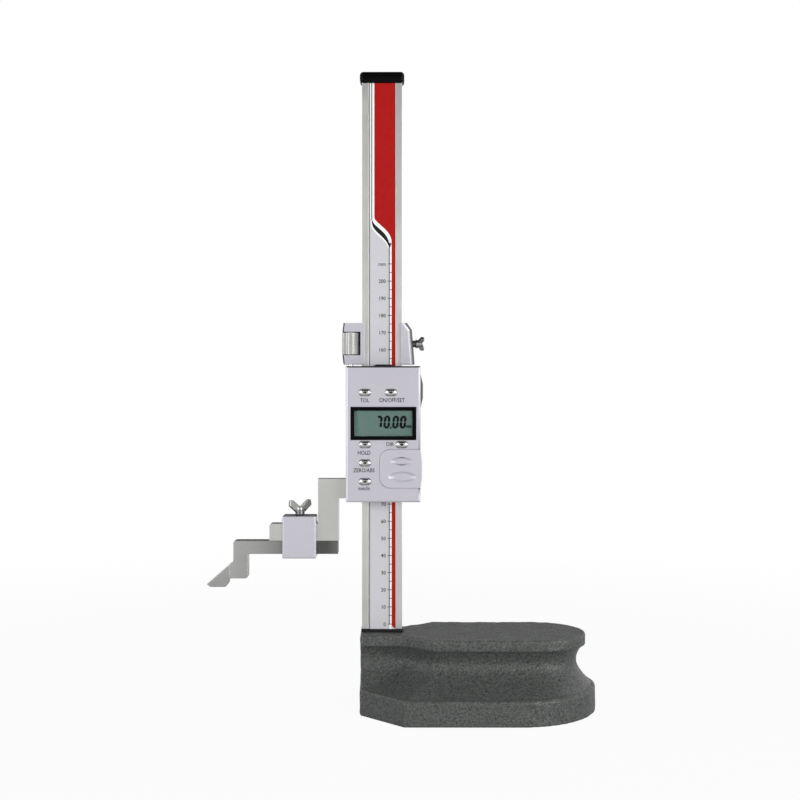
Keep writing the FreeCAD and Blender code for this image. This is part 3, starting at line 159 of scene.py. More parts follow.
def blend_colours(tree, amount, first, second):
    """Mix two colours; the amount and each colour may be a plain value or a socket."""
    mixed = put(tree, "ShaderNodeMix", data_type="RGBA")
    for socket, value in ((mixed.inputs[0], amount), (mixed.inputs[6], first), (mixed.inputs[7], second)):
        if isinstance(value, bpy.types.NodeSocket):
            tree.links.new(value, socket)
        else:
            socket.default_value = value if isinstance(value, float) else (*value, 1.0)
    return mixed.outputs[2]


def group_in(tree, group, **inputs):
    """Place a shader group with its own values."""
    return put(tree, "ShaderNodeGroup", inputs, node_tree=group)


def metal(name, dark, light, lines, rough=(0.28, 0.42), bump=0.25, wear_and_highlight_gain=5.0, wear_and_highlight=(0.9, 0.9, 0.9)):
    """Ground or turned metal: streaks along one direction, handled patches and brighter edges, partly wear and partly
    a painted highlight.
    """
    item, tree, shader, spot = new_material(name, Metallic=1.0)
    grain = group_in(tree, GRAIN, Vector=spot, Lines=lines)
    cloudy = group_in(tree, MOTTLE, Vector=spot, Scale=45.0, Low=rough[0], High=rough[1])
    colour = blend_colours(tree, grain.outputs["Shade"], dark, light)
    edge = group_in(tree, EDGE_WEAR_AND_HIGHLIGHT, Vector=spot, Radius=0.0004, Gain=wear_and_highlight_gain)
    colour = blend_colours(tree, edge.outputs["Mask"], colour, wear_and_highlight)
    relief = put(tree, "ShaderNodeBump", {"Height": grain.outputs["Height"], "Strength": bump, "Distance": 0.00002})
    feed_shader(tree, shader, colour, cloudy, relief)
    return item


def moulding(name, dark, light, rough, flake=2500.0, bump=0.08, wear_and_highlight=None, wear_and_highlight_gain=4.0, **plain):
    """Moulded or sprayed surface: fine flake or orange peel, cloudy gloss and paler edges, partly wear and partly a
    painted highlight.
    """
    item, tree, shader, spot = new_material(name, **plain)
    fleck = put(tree, "ShaderNodeTexNoise", {"Vector": spot, "Scale": flake, "Detail": 2.0})
    colour = blend_colours(tree, fleck.outputs["Fac"], dark, light)
    cloudy = group_in(tree, MOTTLE, Vector=spot, Scale=70.0, Low=rough[0], High=rough[1])
    if wear_and_highlight:
        edge = group_in(tree, EDGE_WEAR_AND_HIGHLIGHT, Vector=spot, Radius=0.0006, Gain=wear_and_highlight_gain)
        colour = blend_colours(tree, edge.outputs["Mask"], colour, wear_and_highlight)
    relief = put(tree, "ShaderNodeBump", {"Height": fleck.outputs["Fac"], "Strength": bump, "Distance": 0.00003})
    feed_shader(tree, shader, colour, cloudy, relief)
    return item


def hammer_paint():
    """Dark grey-green hammer paint on cast iron: glossy pits under a millimetre wide, with dark specks."""
    item, tree, shader, spot = new_material("hammer_paint", Metallic=0.06, Coat_Weight=0.04, Coat_Roughness=0.2,
                                            Specular_IOR_Level=0.28)
    drift = put(tree, "ShaderNodeTexNoise", {"Vector": spot, "Scale": 400.0, "Detail": 2.0})
    pulled = put(tree, "ShaderNodeVectorMath", {0: drift.outputs["Color"], 1: (0.0012, 0.0012, 0.0012)},
                 operation="MULTIPLY")
    bent = put(tree, "ShaderNodeVectorMath", {0: spot, 1: pulled.outputs[0]}, operation="ADD")
    pits = put(tree, "ShaderNodeTexVoronoi", {"Vector": bent.outputs[0], "Scale": 900.0, "Smoothness": 0.5},
               feature="SMOOTH_F1")
    peel = put(tree, "ShaderNodeTexNoise", {"Vector": spot, "Scale": 1900.0, "Detail": 3.0})
    cloud = put(tree, "ShaderNodeTexNoise", {"Vector": spot, "Scale": 900.0, "Detail": 4.0, "Roughness": 0.75})
    tone = put(tree, "ShaderNodeMapRange", {"Value": cloud.outputs["Fac"], "From Min": 0.34, "From Max": 0.66})
    colour = blend_colours(tree, tone.outputs["Result"], (0.036, 0.040, 0.038), (0.130, 0.136, 0.130))
    speck = put(tree, "ShaderNodeTexNoise", {"Vector": bent.outputs[0], "Scale": 760.0, "Detail": 1.0})
    spots = put(tree, "ShaderNodeMapRange", {"Value": speck.outputs["Fac"], "From Min": 0.60, "From Max": 0.68,
                                             "To Min": 0.0, "To Max": 0.6})
    colour = blend_colours(tree, spots.outputs["Result"], colour, (0.016, 0.014, 0.013))
    gloss = group_in(tree, MOTTLE, Vector=spot, Scale=700.0, Low=0.3, High=0.52)
    height = put(tree, "ShaderNodeMath", {0: peel.outputs["Fac"], 1: 0.4, 2: pits.outputs["Distance"]},
                 operation="MULTIPLY_ADD")
    relief = put(tree, "ShaderNodeBump", {"Height": height.outputs[0], "Strength": 0.85, "Distance": 0.00026})
    feed_shader(tree, shader, colour, gloss, relief)
    return item


def shank_steel(low_x, high_x):
    """Tool steel of the scriber's shank, darker towards its clamped end: a painted reflection laid along its length.
    """
    item, tree, shader, spot = new_material("shank_steel", Metallic=0.9)
    grain = group_in(tree, GRAIN, Vector=spot, Lines=(14.0, 900.0, 900.0))
    along = put(tree, "ShaderNodeSeparateXYZ", {0: spot})
    share = put(tree, "ShaderNodeMapRange", {"Value": along.outputs["X"], "From Min": low_x, "From Max": high_x})
    ramp = put(tree, "ShaderNodeValToRGB", {"Fac": share.outputs["Result"]})
    # share of the length from the left end, and how bright the painted reflection makes the steel there
    tones = [(0.0, 0.8), (0.006, 0.43), (0.25, 0.37), (0.5, 0.23), (0.72, 0.10), (0.9, 0.10), (1.0, 0.17)]
    yellowing = 0.97
    ramp.color_ramp.elements[0].position, ramp.color_ramp.elements[1].position = tones[0][0], tones[-1][0]
    for position, tone in tones[1:-1]:
        ramp.color_ramp.elements.new(position)
    for stop, (position, tone) in zip(ramp.color_ramp.elements, tones):
        stop.position = position
        stop.color = (tone, tone, tone * yellowing, 1.0)
    streak = put(tree, "ShaderNodeMapRange", {"Value": grain.outputs["Shade"], "To Min": 0.85, "To Max": 1.15})
    colour = put(tree, "ShaderNodeVectorMath", {0: ramp.outputs["Color"], "Scale": streak.outputs["Result"]},
                 operation="SCALE")
    # brighter edges: partly wear, partly a painted highlight
    edge = group_in(tree, EDGE_WEAR_AND_HIGHLIGHT, Vector=spot, Radius=0.0004, Gain=5.0)
    worn_and_lit = blend_colours(tree, edge.outputs["Mask"], colour.outputs[0], (0.75, 0.75, 0.73))
    gloss = group_in(tree, MOTTLE, Vector=spot, Scale=60.0, Low=0.3, High=0.42)
    relief = put(tree, "ShaderNodeBump", {"Height": grain.outputs["Height"], "Strength": 0.2, "Distance": 0.00002})
    feed_shader(tree, shader, worn_and_lit, gloss, relief)
    return item


def clear_window():
    """The display's clear cover, slightly smeared."""
    item, tree, shader, spot = new_material("clear_window", Transmission_Weight=1.0, IOR=1.35, Metallic=0.0,
                                            Specular_IOR_Level=0.1)
    smear = group_in(tree, MOTTLE, Vector=spot, Scale=120.0, Low=0.02, High=0.07)
    tree.links.new(smear.outputs["Value"], shader.inputs["Roughness"])
    shader.inputs["Base Color"].default_value = (0.97, 0.99, 0.98, 1.0)
    return item


# how fine the grinding lines are along X, Y and Z
VERTICAL = (900.0, 900.0, 9.0)
SIDEWAYS = (9.0, 900.0, 900.0)
TURNED = (60.0, 60.0, 1400.0)
EVEN = (40.0, 40.0, 40.0)
CAST = (500.0, 500.0, 500.0)

STEEL = metal("beam_steel", (0.56, 0.56, 0.54), (0.74, 0.74, 0.72), VERTICAL)
JAW_STEEL = metal("jaw_steel", (0.52, 0.523, 0.498), (0.62, 0.623, 0.598), VERTICAL)
# painted shade: dark steel for faces that lie in shadow or mirror the dark, such as tops, sides, undersides and
# recesses
PAINTED_SHADE_STEEL = metal("painted_shade_steel", (0.10, 0.10, 0.105), (0.20, 0.20, 0.205), VERTICAL, rough=(0.3, 0.45),
                   wear_and_highlight_gain=0.4)
NUT_STEEL = metal("nut_steel", (0.50, 0.50, 0.49), (0.72, 0.72, 0.71), TURNED, rough=(0.2, 0.3), bump=0.15)
RIB_STEEL = metal("ribbed_steel", (0.36, 0.36, 0.35), (0.48, 0.48, 0.47), TURNED, rough=(0.45, 0.55), bump=0.15,
                  wear_and_highlight_gain=1.0)
# painted shade: darker steel for the nut's grooves between its ribs
GROOVE_PAINTED_SHADE = metal("groove_painted_shade", (0.20, 0.20, 0.20), (0.30, 0.30, 0.30), TURNED, rough=(0.4, 0.5), wear_and_highlight_gain=1.0)
TIP_STEEL = metal("carbide", (0.34, 0.34, 0.33), (0.46, 0.46, 0.45), SIDEWAYS, rough=(0.3, 0.4))
CHROME = metal("chrome_plate", (0.60, 0.60, 0.60), (0.70, 0.70, 0.70), EVEN, rough=(0.05, 0.1), bump=0.02,
               wear_and_highlight_gain=0.5)
CAST_CHROME = metal("cast_chrome", (0.24, 0.24, 0.235), (0.46, 0.46, 0.45), CAST, rough=(0.14, 0.26),
                    bump=0.35, wear_and_highlight_gain=3.0)
DARK_SCREW = metal("blackened_screw", (0.06, 0.06, 0.065), (0.12, 0.12, 0.125), TURNED, rough=(0.3, 0.45))
BRASS = metal("brass", (0.55, 0.40, 0.16), (0.72, 0.55, 0.26), TURNED, wear_and_highlight=(0.9, 0.75, 0.45))
PLASTIC = moulding("case_lacquer", (0.49, 0.475, 0.53), (0.54, 0.525, 0.58), (0.30, 0.36),
                   Metallic=0.15, Coat_Weight=0.12, Coat_Roughness=0.15)
# painted highlight: a paler lacquer for the case's lit side rounds
PAINTED_HIGHLIGHT_EDGE = moulding("case_painted_highlight", (0.74, 0.74, 0.78), (0.80, 0.80, 0.84), (0.2, 0.26), Coat_Weight=0.3,
                     Coat_Roughness=0.1)
PAINT = moulding("silver_lacquer", (0.52, 0.51, 0.56), (0.57, 0.56, 0.61), (0.28, 0.34), wear_and_highlight=(0.88, 0.88, 0.9),
                 Metallic=0.3, Coat_Weight=0.25, Coat_Roughness=0.2)
BLACK = moulding("black_moulding", (0.0015, 0.0015, 0.0015), (0.003, 0.003, 0.003), (0.16, 0.26), flake=900.0,
                 wear_and_highlight=(0.012, 0.012, 0.012), Specular_IOR_Level=0.07)
RUBBER = moulding("rubber", (0.006, 0.006, 0.006), (0.014, 0.014, 0.014), (0.55, 0.75), flake=1200.0, bump=0.2,
                  Specular_IOR_Level=0.2)
TRIM = moulding("dark_trim", (0.09, 0.09, 0.095), (0.14, 0.14, 0.15), (0.35, 0.5), wear_and_highlight=(0.25, 0.25, 0.26))
# painted shadow: near-black for edges and rims that lie in shade
PAINTED_SHADOW_LINE = moulding("painted_shadow_line", (0.020, 0.020, 0.022), (0.035, 0.035, 0.038), (0.45, 0.6), Specular_IOR_Level=0.2)
FILM = moulding("film_grey", (0.55, 0.55, 0.585), (0.575, 0.575, 0.61), (0.24, 0.28), flake=300.0, bump=0.01,
                Specular_IOR_Level=0.25)
RED_INK = moulding("film_red", (0.36, 0.007, 0.007), (0.40, 0.010, 0.009), (0.26, 0.30), flake=300.0, bump=0.01,
                   Specular_IOR_Level=0.12)
WHITE_INK = moulding("film_white", (0.84, 0.84, 0.84), (0.88, 0.88, 0.88), (0.24, 0.34), flake=300.0, bump=0.01)
BLACK_INK = moulding("film_black", (0.006, 0.009, 0.009), (0.012, 0.016, 0.016), (0.26, 0.36), flake=300.0,
                     bump=0.01, Specular_IOR_Level=0.15)
LEFT_EDGE_GREY = moulding("film_left_edge_grey", (0.15, 0.15, 0.14), (0.20, 0.20, 0.19), (0.26, 0.36), flake=300.0, bump=0.01)
LEGEND_INK = moulding("legend_ink", (0.012, 0.012, 0.015), (0.024, 0.024, 0.028), (0.4, 0.5), flake=900.0,
                      bump=0.02, Specular_IOR_Level=0.15)
LCD = moulding("display_panel", (0.158, 0.262, 0.236), (0.174, 0.282, 0.256), (0.35, 0.45), flake=60.0, bump=0.01)
LCD_INK = moulding("display_segments", (0.002, 0.005, 0.005), (0.004, 0.008, 0.008), (0.3, 0.4), flake=500.0,
                   bump=0.01, Specular_IOR_Level=0.1)
LAMINATE = moulding("circuit_laminate", (0.01, 0.09, 0.035), (0.02, 0.13, 0.05), (0.25, 0.4), flake=500.0)
WINDOW = clear_window()
HAMMERED = hammer_paint()


# Mesh helpers

def linked(name, data):
    """A new object in the scene."""
    thing = bpy.data.objects.new(name, data)
    bpy.context.scene.collection.objects.link(thing)
    return thing


def mesh_from(name, bm):
    """A mesh with the bmesh's shape; the bmesh is freed."""
    mesh = bpy.data.meshes.new(name)
    bm.to_mesh(mesh)
    bm.free()
    return mesh


def verts_in(items):
    """The vertices among an operator's results."""
    return [item for item in items if isinstance(item, bmesh.types.BMVert)]


def edges_in(items):
    """The edges among an operator's results."""
    return [item for item in items if isinstance(item, bmesh.types.BMEdge)]


def bevelled(bm, edges, width, segments):
    """Round the edges and return the new faces."""
    return bmesh.ops.bevel(bm, geom=edges, offset=width, offset_type="OFFSET", segments=segments, profile=0.5,
                           affect="EDGES", material=-1, clamp_overlap=True)["faces"]


def copy_of(node, join=0.002 * MM, flat=math.radians(0.6)):
    """The CAD node's mesh with its triangles joined and its flat faces made whole."""
    bm = bmesh.new()
    bm.from_mesh(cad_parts[node].data)
    bmesh.ops.remove_doubles(bm, verts=bm.verts, dist=join)
    bmesh.ops.dissolve_limit(bm, angle_limit=flat, verts=bm.verts, edges=bm.edges, delimit=set())
    return bm


def soften(bm, width, segments=2, sharp=math.radians(38)):
    """Break every sharp edge by a small round."""
    edges = [edge for edge in bm.edges if edge.is_manifold and edge.calc_face_angle(0.0) > sharp]
    bevelled(bm, edges, width, segments)
    return bm


def add_piece(name, bm, body, finish, slot, *nodes, sharp=math.radians(40), even=True, second=None):
    """Make a bmesh a piece that rides on a body, and hide the CAD nodes it stands for."""
    return add_mesh(name, mesh_from(name, bm), body, finish, slot, *nodes, sharp=sharp, even=even, second=second)


def add_mesh(name, mesh, body, finish, slot, *nodes, sharp=math.radians(40), even=True, second=None):
    """Make a mesh a piece; its faces of material index 1 take the second finish, if there is one."""
    if second is None:
        mesh.materials.clear()
    mesh.materials.append(finish)
    if second is not None:
        mesh.materials.append(second)
    mesh.shade_smooth()
    mesh.set_sharp_from_angle(angle=sharp)
    piece = linked(name, mesh)
    if even:
        normals = piece.modifiers.new("even_normals", "WEIGHTED_NORMAL")
        normals.keep_sharp = True
    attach(piece, body)
    if nodes:
        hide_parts(*nodes)
    return piece


def shade_painted_above(bm):
    """Give the upward faces the second finish, as painted shade."""
    upward = 0.6
    for face in bm.faces:
        face.material_index = 1 if face.normal.z > upward else 0
    return bm


def dress(node, body, finish, slot, width, segments=2, above=None):
    """A CAD node's own shape with its sharp edges broken; above, if given, is the finish of its upward faces, painted
    shade.
    """
    bm = soften(copy_of(node), width, segments)
    if above is not None:
        shade_painted_above(bm)
    return add_piece(node + "_finished", bm, body, finish, slot, node, second=above)


def finish_cad(node, finish):
    """Give a kept CAD node its material."""
    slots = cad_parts[node].data.materials
    slots.clear()
    slots.append(finish)


def remeshed(bm, voxel, passes=4):
    """The bmesh's shape as one even skin, with overlapping parts run together."""
    mesh = mesh_from("blank", bm)
    blank = linked("blank", mesh)
    skin = blank.modifiers.new("skin", "REMESH")
    skin.mode = "VOXEL"
    skin.voxel_size = voxel
    evened = blank.modifiers.new("evened", "SMOOTH")
    evened.factor = 0.5
    evened.iterations = passes
    graph = bpy.context.evaluated_depsgraph_get()
    result = bpy.data.meshes.new_from_object(blank.evaluated_get(graph))
    bpy.data.objects.remove(blank)
    bpy.data.meshes.remove(mesh)
    return result


def flat_shape(bm, corners, front, back):
    """A thin closed plate in the XZ plane, its outline given as (x, z) pairs."""
    face = bm.faces.new([bm.verts.new((x, back, z)) for x, z in corners])
    raised = bmesh.ops.extrude_face_region(bm, geom=[face])["geom"]
    bmesh.ops.translate(bm, verts=verts_in(raised), vec=(0, front - back, 0))


def closed(bm):
    """Turn all faces outwards."""
    bmesh.ops.recalc_face_normals(bm, faces=bm.faces)
    return bm


def rounded_plate(corners, rounds, front, back, width, segments=3):
    """A plate in the XZ plane whose numbered corners are rounded and whose rims are broken."""
    bm = bmesh.new()
    flat_shape(bm, corners, front, back)
    closed(bm)
    for number, radius in rounds.items():
        x, z = corners[number]
        corner = [edge for edge in bm.edges
                  if all(abs(vert.co.x - x) < 1e-6 and abs(vert.co.z - z) < 1e-6 for vert in edge.verts)]
        bevelled(bm, corner, radius, 8)
    return soften(bm, width, segments)


def text_mesh(words, height, thickness, align, bold):
    """Lettering of a given capital height as a flat mesh facing -Y, its middle or right end at the origin."""
    curve = bpy.data.curves.new("lettering", "FONT")
    curve.body = words
    curve.align_x = align
    curve.offset = bold
    curve.resolution_u = 3
    carrier = linked("lettering", curve)
    graph = bpy.context.evaluated_depsgraph_get()
    mesh = bpy.data.meshes.new_from_object(carrier.evaluated_get(graph))
    bpy.data.objects.remove(carrier)
    bpy.data.curves.remove(curve)
    bm = bmesh.new()
    bm.from_mesh(mesh)
    bpy.data.meshes.remove(mesh)
    tall = 0.72  # a capital's height in the font's own units
    bmesh.ops.scale(bm, verts=bm.verts, vec=(height / tall, height / tall, 1.0))
    bmesh.ops.translate(bm, verts=bm.verts, vec=(0, -height / 2, 0))
    bmesh.ops.rotate(bm, verts=bm.verts, cent=(0, 0, 0), matrix=Matrix.Rotation(math.radians(90), 3, "X"))
    raised = bmesh.ops.extrude_face_region(bm, geom=bm.faces[:])["geom"]
    bmesh.ops.translate(bm, verts=verts_in(raised), vec=(0, -thickness, 0))
    return closed(bm)


def write(bm, words, x, y, z, height, thickness, align="CENTER", squeeze=1.0, bold=0.012):
    """Add lettering to a bmesh with its back at depth y."""
    letters = text_mesh(words, height, thickness, align, bold)
    bmesh.ops.scale(letters, verts=letters.verts, vec=(squeeze, 1.0, 1.0))
    bmesh.ops.translate(letters, verts=letters.verts, vec=(x, y, z))
    mesh = mesh_from("lettering", letters)
    bm.from_mesh(mesh)
    bpy.data.meshes.remove(mesh)


def middle(node):
    """The centre of a CAD node's box."""
    low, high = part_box(node)
    return (low + high) / 2


def smoothstep(share):
    """An even rise from 0 to 1."""
    share = min(max(share, 0.0), 1.0)
    return share * share * (3 - 2 * share)


def kept_inside(place, low, high):
    """The nearest place within a box."""
    return Vector(min(max(value, least), most) for value, least, most in zip(place, low, high))


# Base and column

def make_base():
    """The casting, its skin made slightly wavy, with its ground underside left flat."""
    low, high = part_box("base_casting")
    ground_top = low.z + 0.9 * MM
    # how far the skin lies under the casting's outline and how much it swells, in millimetres
    sunk, swell = 0.16, 0.24
    mesh = remeshed(copy_of("base_casting"), 0.85 * MM)
    normals = [vert.normal.copy() for vert in mesh.vertices]
    for vert, normal in zip(mesh.vertices, normals):
        place = vert.co
        if place.z > ground_top:
            ripple = noise.noise(place * 110) + 0.6 * noise.noise(place * 330)
            place = place - normal * max((sunk + swell * ripple) * MM, 0.0)
        vert.co = kept_inside(place, low, high)
    add_mesh("base_casting_painted", mesh, "root", HAMMERED, "cast_base", "base_casting", sharp=math.pi,
             even=False)


def through(*points):
    """A smooth line through (x, z) points in millimetres, as a list of points in metres."""
    marks = [Vector(point) * MM for point in points]
    marks = [2 * marks[0] - marks[1], *marks, 2 * marks[-1] - marks[-2]]
    line = [tuple(marks[1])]
    for before, start, end, after in zip(marks, marks[1:], marks[2:], marks[3:]):
        leave, arrive = start + (end - before) / 6, end - (after - start) / 6
        line += [tuple(spot) for spot in geometry.interpolate_bezier(start, leave, arrive, end, 6)[1:]]
    return line


def stripe(bm, left, right, foot, top, front, back):
    """An upright rectangle of print."""
    flat_shape(bm, [(left, foot), (right, foot), (right, top), (left, top)], front, back)


def make_film():
    """The printed film in the beam's groove: grey ground, red border, S-shaped bands, ticks and plain numbers."""
    low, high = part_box("scale_label")
    ground, first, second, third = (high.y - depth * MM for depth in (0.18, 0.205, 0.225, 0.245))
    bm = bmesh.new()
    stripe(bm, low.x, high.x, low.z, high.z, ground, high.y)
    add_piece("scale_film", closed(bm), "root", FILM, "label_film", "scale_label", even=False)

    foot, top = low.z, high.z
    # edges of the red: the wide panel's left side, the narrow strip's left side, where the S between them ends
    panel_left, strip_left, turn_end = -4.5 * MM, 5.6 * MM, 270.6 * MM
    red_foot, corner, white_foot = foot + 0.4 * MM, 1.6 * MM, 284.4 * MM
    # the ruler's upright, half the width of its line and ticks, and the height of its zero
    ruler, line, tick, zero = 4.2 * MM, 0.24 * MM, 0.19 * MM, 48.45 * MM
    tick_count, last_tens, number_right, number_height = 43, 21, 2.2 * MM, 2.15 * MM
    white_start = 14
    panel_edge = through((-4.5, 286.4), (-4.15, 284.7), (-2.75, 282.9), (-0.1, 280.4), (2.6, 277.8), (4.5, 275.2),
                         (5.4, 272.8), (5.6, 270.6))
    swoosh_over = through((-5.9, 284.2), (-4.4, 281.6), (-2.1, 279.4), (0.4, 277.2), (2.5, 274.6), (3.8, 271.9),
                          (4.4, 268.8))
    swoosh_under = through((-5.9, 284.2), (-5.9, 282.2), (-5.25, 280.0), (-3.5, 277.6), (-1.0, 275.2), (1.4, 272.8),
                           (3.1, 270.4), (4.2, 268.2))
    outline_under = through((-6.5, 284.4), (-6.55, 281.2), (-5.9, 279.2), (-4.4, 277.3), (-1.7, 274.4), (0.8, 272.2),
                            (2.6, 269.9), (3.7, 267.8), (3.96, 266.4))

    bm = bmesh.new()
    red = [(high.x, red_foot), (high.x, top), (panel_left, top), *panel_edge]
    red += [(strip_left, red_foot + corner), (strip_left + corner, red_foot)]
    flat_shape(bm, red, second, ground)
    add_piece("scale_red_panel", closed(bm), "root", RED_INK, "label_film", even=False)

    bm = bmesh.new()
    stripe(bm, -7.1 * MM, panel_left, white_foot, top, first, ground)
    stripe(bm, ruler, strip_left, foot, turn_end, first, ground)
    flat_shape(bm, [(panel_left, white_foot), *panel_edge[white_start:], *reversed(outline_under)], first, ground)
    add_piece("scale_white_bands", closed(bm), "root", WHITE_INK, "label_film", even=False)

    # a thin dark grey line along the film's left edge, beside the beam's steel
    bm = bmesh.new()
    stripe(bm, low.x + 0.1 * MM, low.x + 0.6 * MM, foot, top, first, ground)
    add_piece("scale_left_edge_line", closed(bm), "root", LEFT_EDGE_GREY, "label_film", even=False)

    bm = bmesh.new()
    flat_shape(bm, [*swoosh_over, *reversed(swoosh_under[1:])], second, first)
    stripe(bm, -6.25 * MM, -5.75 * MM, 284.0 * MM, top, second, first)
    stripe(bm, ruler - line, ruler + line, zero - tick, turn_end, third, second)
    for step in range(tick_count):
        level = zero + 5 * step * MM
        start = ruler - (0.9 * MM if step % 2 == 0 else 0.0)
        stripe(bm, start, strip_left - 0.05 * MM, level - tick, level + tick, third, second)
    add_piece("scale_black_lines", closed(bm), "root", BLACK_INK, "label_film", even=False)

    bm = bmesh.new()
    for tens in range(last_tens + 1):
        words = "mm" if tens == last_tens else str(10 * tens)
        write(bm, words, number_right, ground, zero + 10 * tens * MM, number_height, 0.045 * MM, "RIGHT", 0.95)
    add_piece("scale_numbers", bm, "root", LEGEND_INK, "label_film", even=False)


def make_cap():
    """The end cap, a block with well rounded edges."""
    low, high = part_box("column_end_cap")
    bm = bmesh.new()
    bmesh.ops.create_cube(bm, size=1.0)
    bmesh.ops.scale(bm, verts=bm.verts, vec=high - low)
    bmesh.ops.translate(bm, verts=bm.verts, vec=(high + low) / 2)
    bevelled(bm, bm.edges[:], 2.2 * MM, 6)
    add_piece("column_end_cap_moulded", closed(bm), "root", BLACK, "black_plastic", "column_end_cap")


def make_column():
    """The beam, what holds it, its cap and its film."""
    dress("column_beam", "root", STEEL, "steel", 0.3 * MM)
    dress("column_foot_gasket", "root", RUBBER, "black_rubber", 0.25 * MM)
    make_cap()
    finish_cad("column_screws", DARK_SCREW)
    finish_cad("scale_circuit_strip", LAMINATE)
    make_film()


# Slider

def make_keys():
    """Six chromed domes, each standing in a low bright rim."""
    for key in ("tolerance", "power", "hold", "direction", "zero", "unit"):
        node = "button_" + key
        low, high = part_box(node)
        centre = (low + high) / 2
        flange = 0.8 * MM  # the part of the key that stays behind the case's wall
        half_x, half_z = (high.x - low.x) / 2 - flange, (high.z - low.z) / 2 - flange
        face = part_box("display_housing")[0].y
        # share of the outline and depth from the case's face in millimetres, from behind the wall to the crown
        rings = [(1.0, 1.9), (1.0, -0.12), (0.97, -0.2), (0.92, -0.22), (0.90, -0.18), (0.89, -0.26), (0.84, -0.44),
                 (0.74, -0.62), (0.60, -0.76), (0.45, -0.85), (0.33, -0.885), (0.31, -0.888), (0.29, -0.888)]
        bm = bmesh.new()
        bmesh.ops.create_circle(bm, cap_ends=False, segments=48, radius=1.0)
        bmesh.ops.rotate(bm, verts=bm.verts, cent=(0, 0, 0), matrix=Matrix.Rotation(math.radians(90), 3, "X"))
        loop = bm.edges[:]
        share_before, depth_before = rings[0]
        bmesh.ops.scale(bm, verts=bm.verts, vec=(half_x, 1.0, half_z))
        bmesh.ops.translate(bm, verts=bm.verts, vec=(centre.x, face + depth_before * MM, centre.z))
        bm.faces.new(bm.verts[:])
        for share, depth in rings[1:]:
            grown = bmesh.ops.extrude_edge_only(bm, edges=loop)["geom"]
            verts, loop = verts_in(grown), edges_in(grown)
            factor = share / share_before
            bmesh.ops.scale(bm, verts=verts, vec=(factor, 1.0, factor), space=Matrix.Translation(-centre))
            bmesh.ops.translate(bm, verts=verts, vec=(0, (depth - depth_before) * MM, 0))
            share_before, depth_before = share, depth
        crown = bmesh.ops.contextual_create(bm, geom=loop)
        bmesh.ops.poke(bm, faces=crown["faces"], offset=0.0)
        add_piece(node + "_chromed", closed(bm), "key_" + key, CHROME, "chrome", node, sharp=math.radians(60),
                  even=False)


def make_legends():
    """Plain words for what each key does, printed on the case."""
    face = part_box("display_housing")[0].y
    # each word and its place from the key's centre, in millimetres
    words = {"tolerance": ("TOL", -0.2, -4.4), "power": ("ON/OFF/SET", 0.6, -4.3), "hold": ("HOLD", -0.5, -4.6),
             "direction": ("DIR", -6.8, 0.3), "zero": ("ZERO/ABS", -0.5, -4.15), "unit": ("mm/in", -0.45, -3.8)}
    bm = bmesh.new()
    for key, (label, across, up) in words.items():
        spot = middle("button_" + key)
        write(bm, label, spot.x + across * MM, face, spot.z + up * MM, 2.3 * MM, 0.03 * MM, squeeze=0.84)
    add_piece("key_legends", bm, "slider", LEGEND_INK, "case", even=False)


# the bars that a digit lights, clockwise from the top
SEGMENTS = {"0": "abcdef", "7": "abc"}


def make_reading():
    """The display's figures: slanted seven-segment digits and a small unit mark."""
    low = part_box("lcd_panel")[0]
    front = low.y - 0.05 * MM
    foot = low.z + 5.7 * MM
    tall, wide, slant = 7.5 * MM, 3.7 * MM, 0.09
    stroke, gap = 1.4 * MM, -0.12 * MM
    lefts = [-3.75 * MM, 0.75 * MM, 5.75 * MM, 10.05 * MM]
    bm = bmesh.new()

    def bar(x0, z0, x1, z1, left):
        """One six-sided stroke between two points of an upright digit."""
        along = Vector((x1 - x0, z1 - z0)).normalized()
        across = Vector((-along.y, along.x)) * stroke / 2
        start = Vector((x0, z0)) + along * (stroke / 2 + gap)
        end = Vector((x1, z1)) - along * (stroke / 2 + gap)
        tip = along * stroke / 2
        points = [start - tip, start - across, end - across, end + tip, end + across, start + across]
        flat_shape(bm, [(left + p.x + slant * p.y, foot + p.y) for p in points], front, low.y)

    ends = {"a": (0, 1, 1, 1), "b": (1, 0.5, 1, 1), "c": (1, 0, 1, 0.5), "d": (0, 0, 1, 0), "e": (0, 0, 0, 0.5),
            "f": (0, 0.5, 0, 1)}
    inner_x, inner_z = wide - stroke, tall - stroke
    for left, digit in zip(lefts, "7000"):
        for name in SEGMENTS[digit]:
            x0, z0, x1, z1 = ends[name]
            bar(stroke / 2 + x0 * inner_x, stroke / 2 + z0 * inner_z, stroke / 2 + x1 * inner_x,
                stroke / 2 + z1 * inner_z, left)
    point_left, point_size = 4.65 * MM, 0.95 * MM
    stripe(bm, point_left, point_left + point_size, foot, foot + point_size, front, low.y)
    closed(bm)
    write(bm, "mm", 15.6 * MM, low.y, foot + 1.5 * MM, 2.0 * MM, 0.05 * MM, squeeze=0.75, bold=0.05)
    add_piece("display_figures", bm, "slider", LCD_INK, "lcd", even=False)


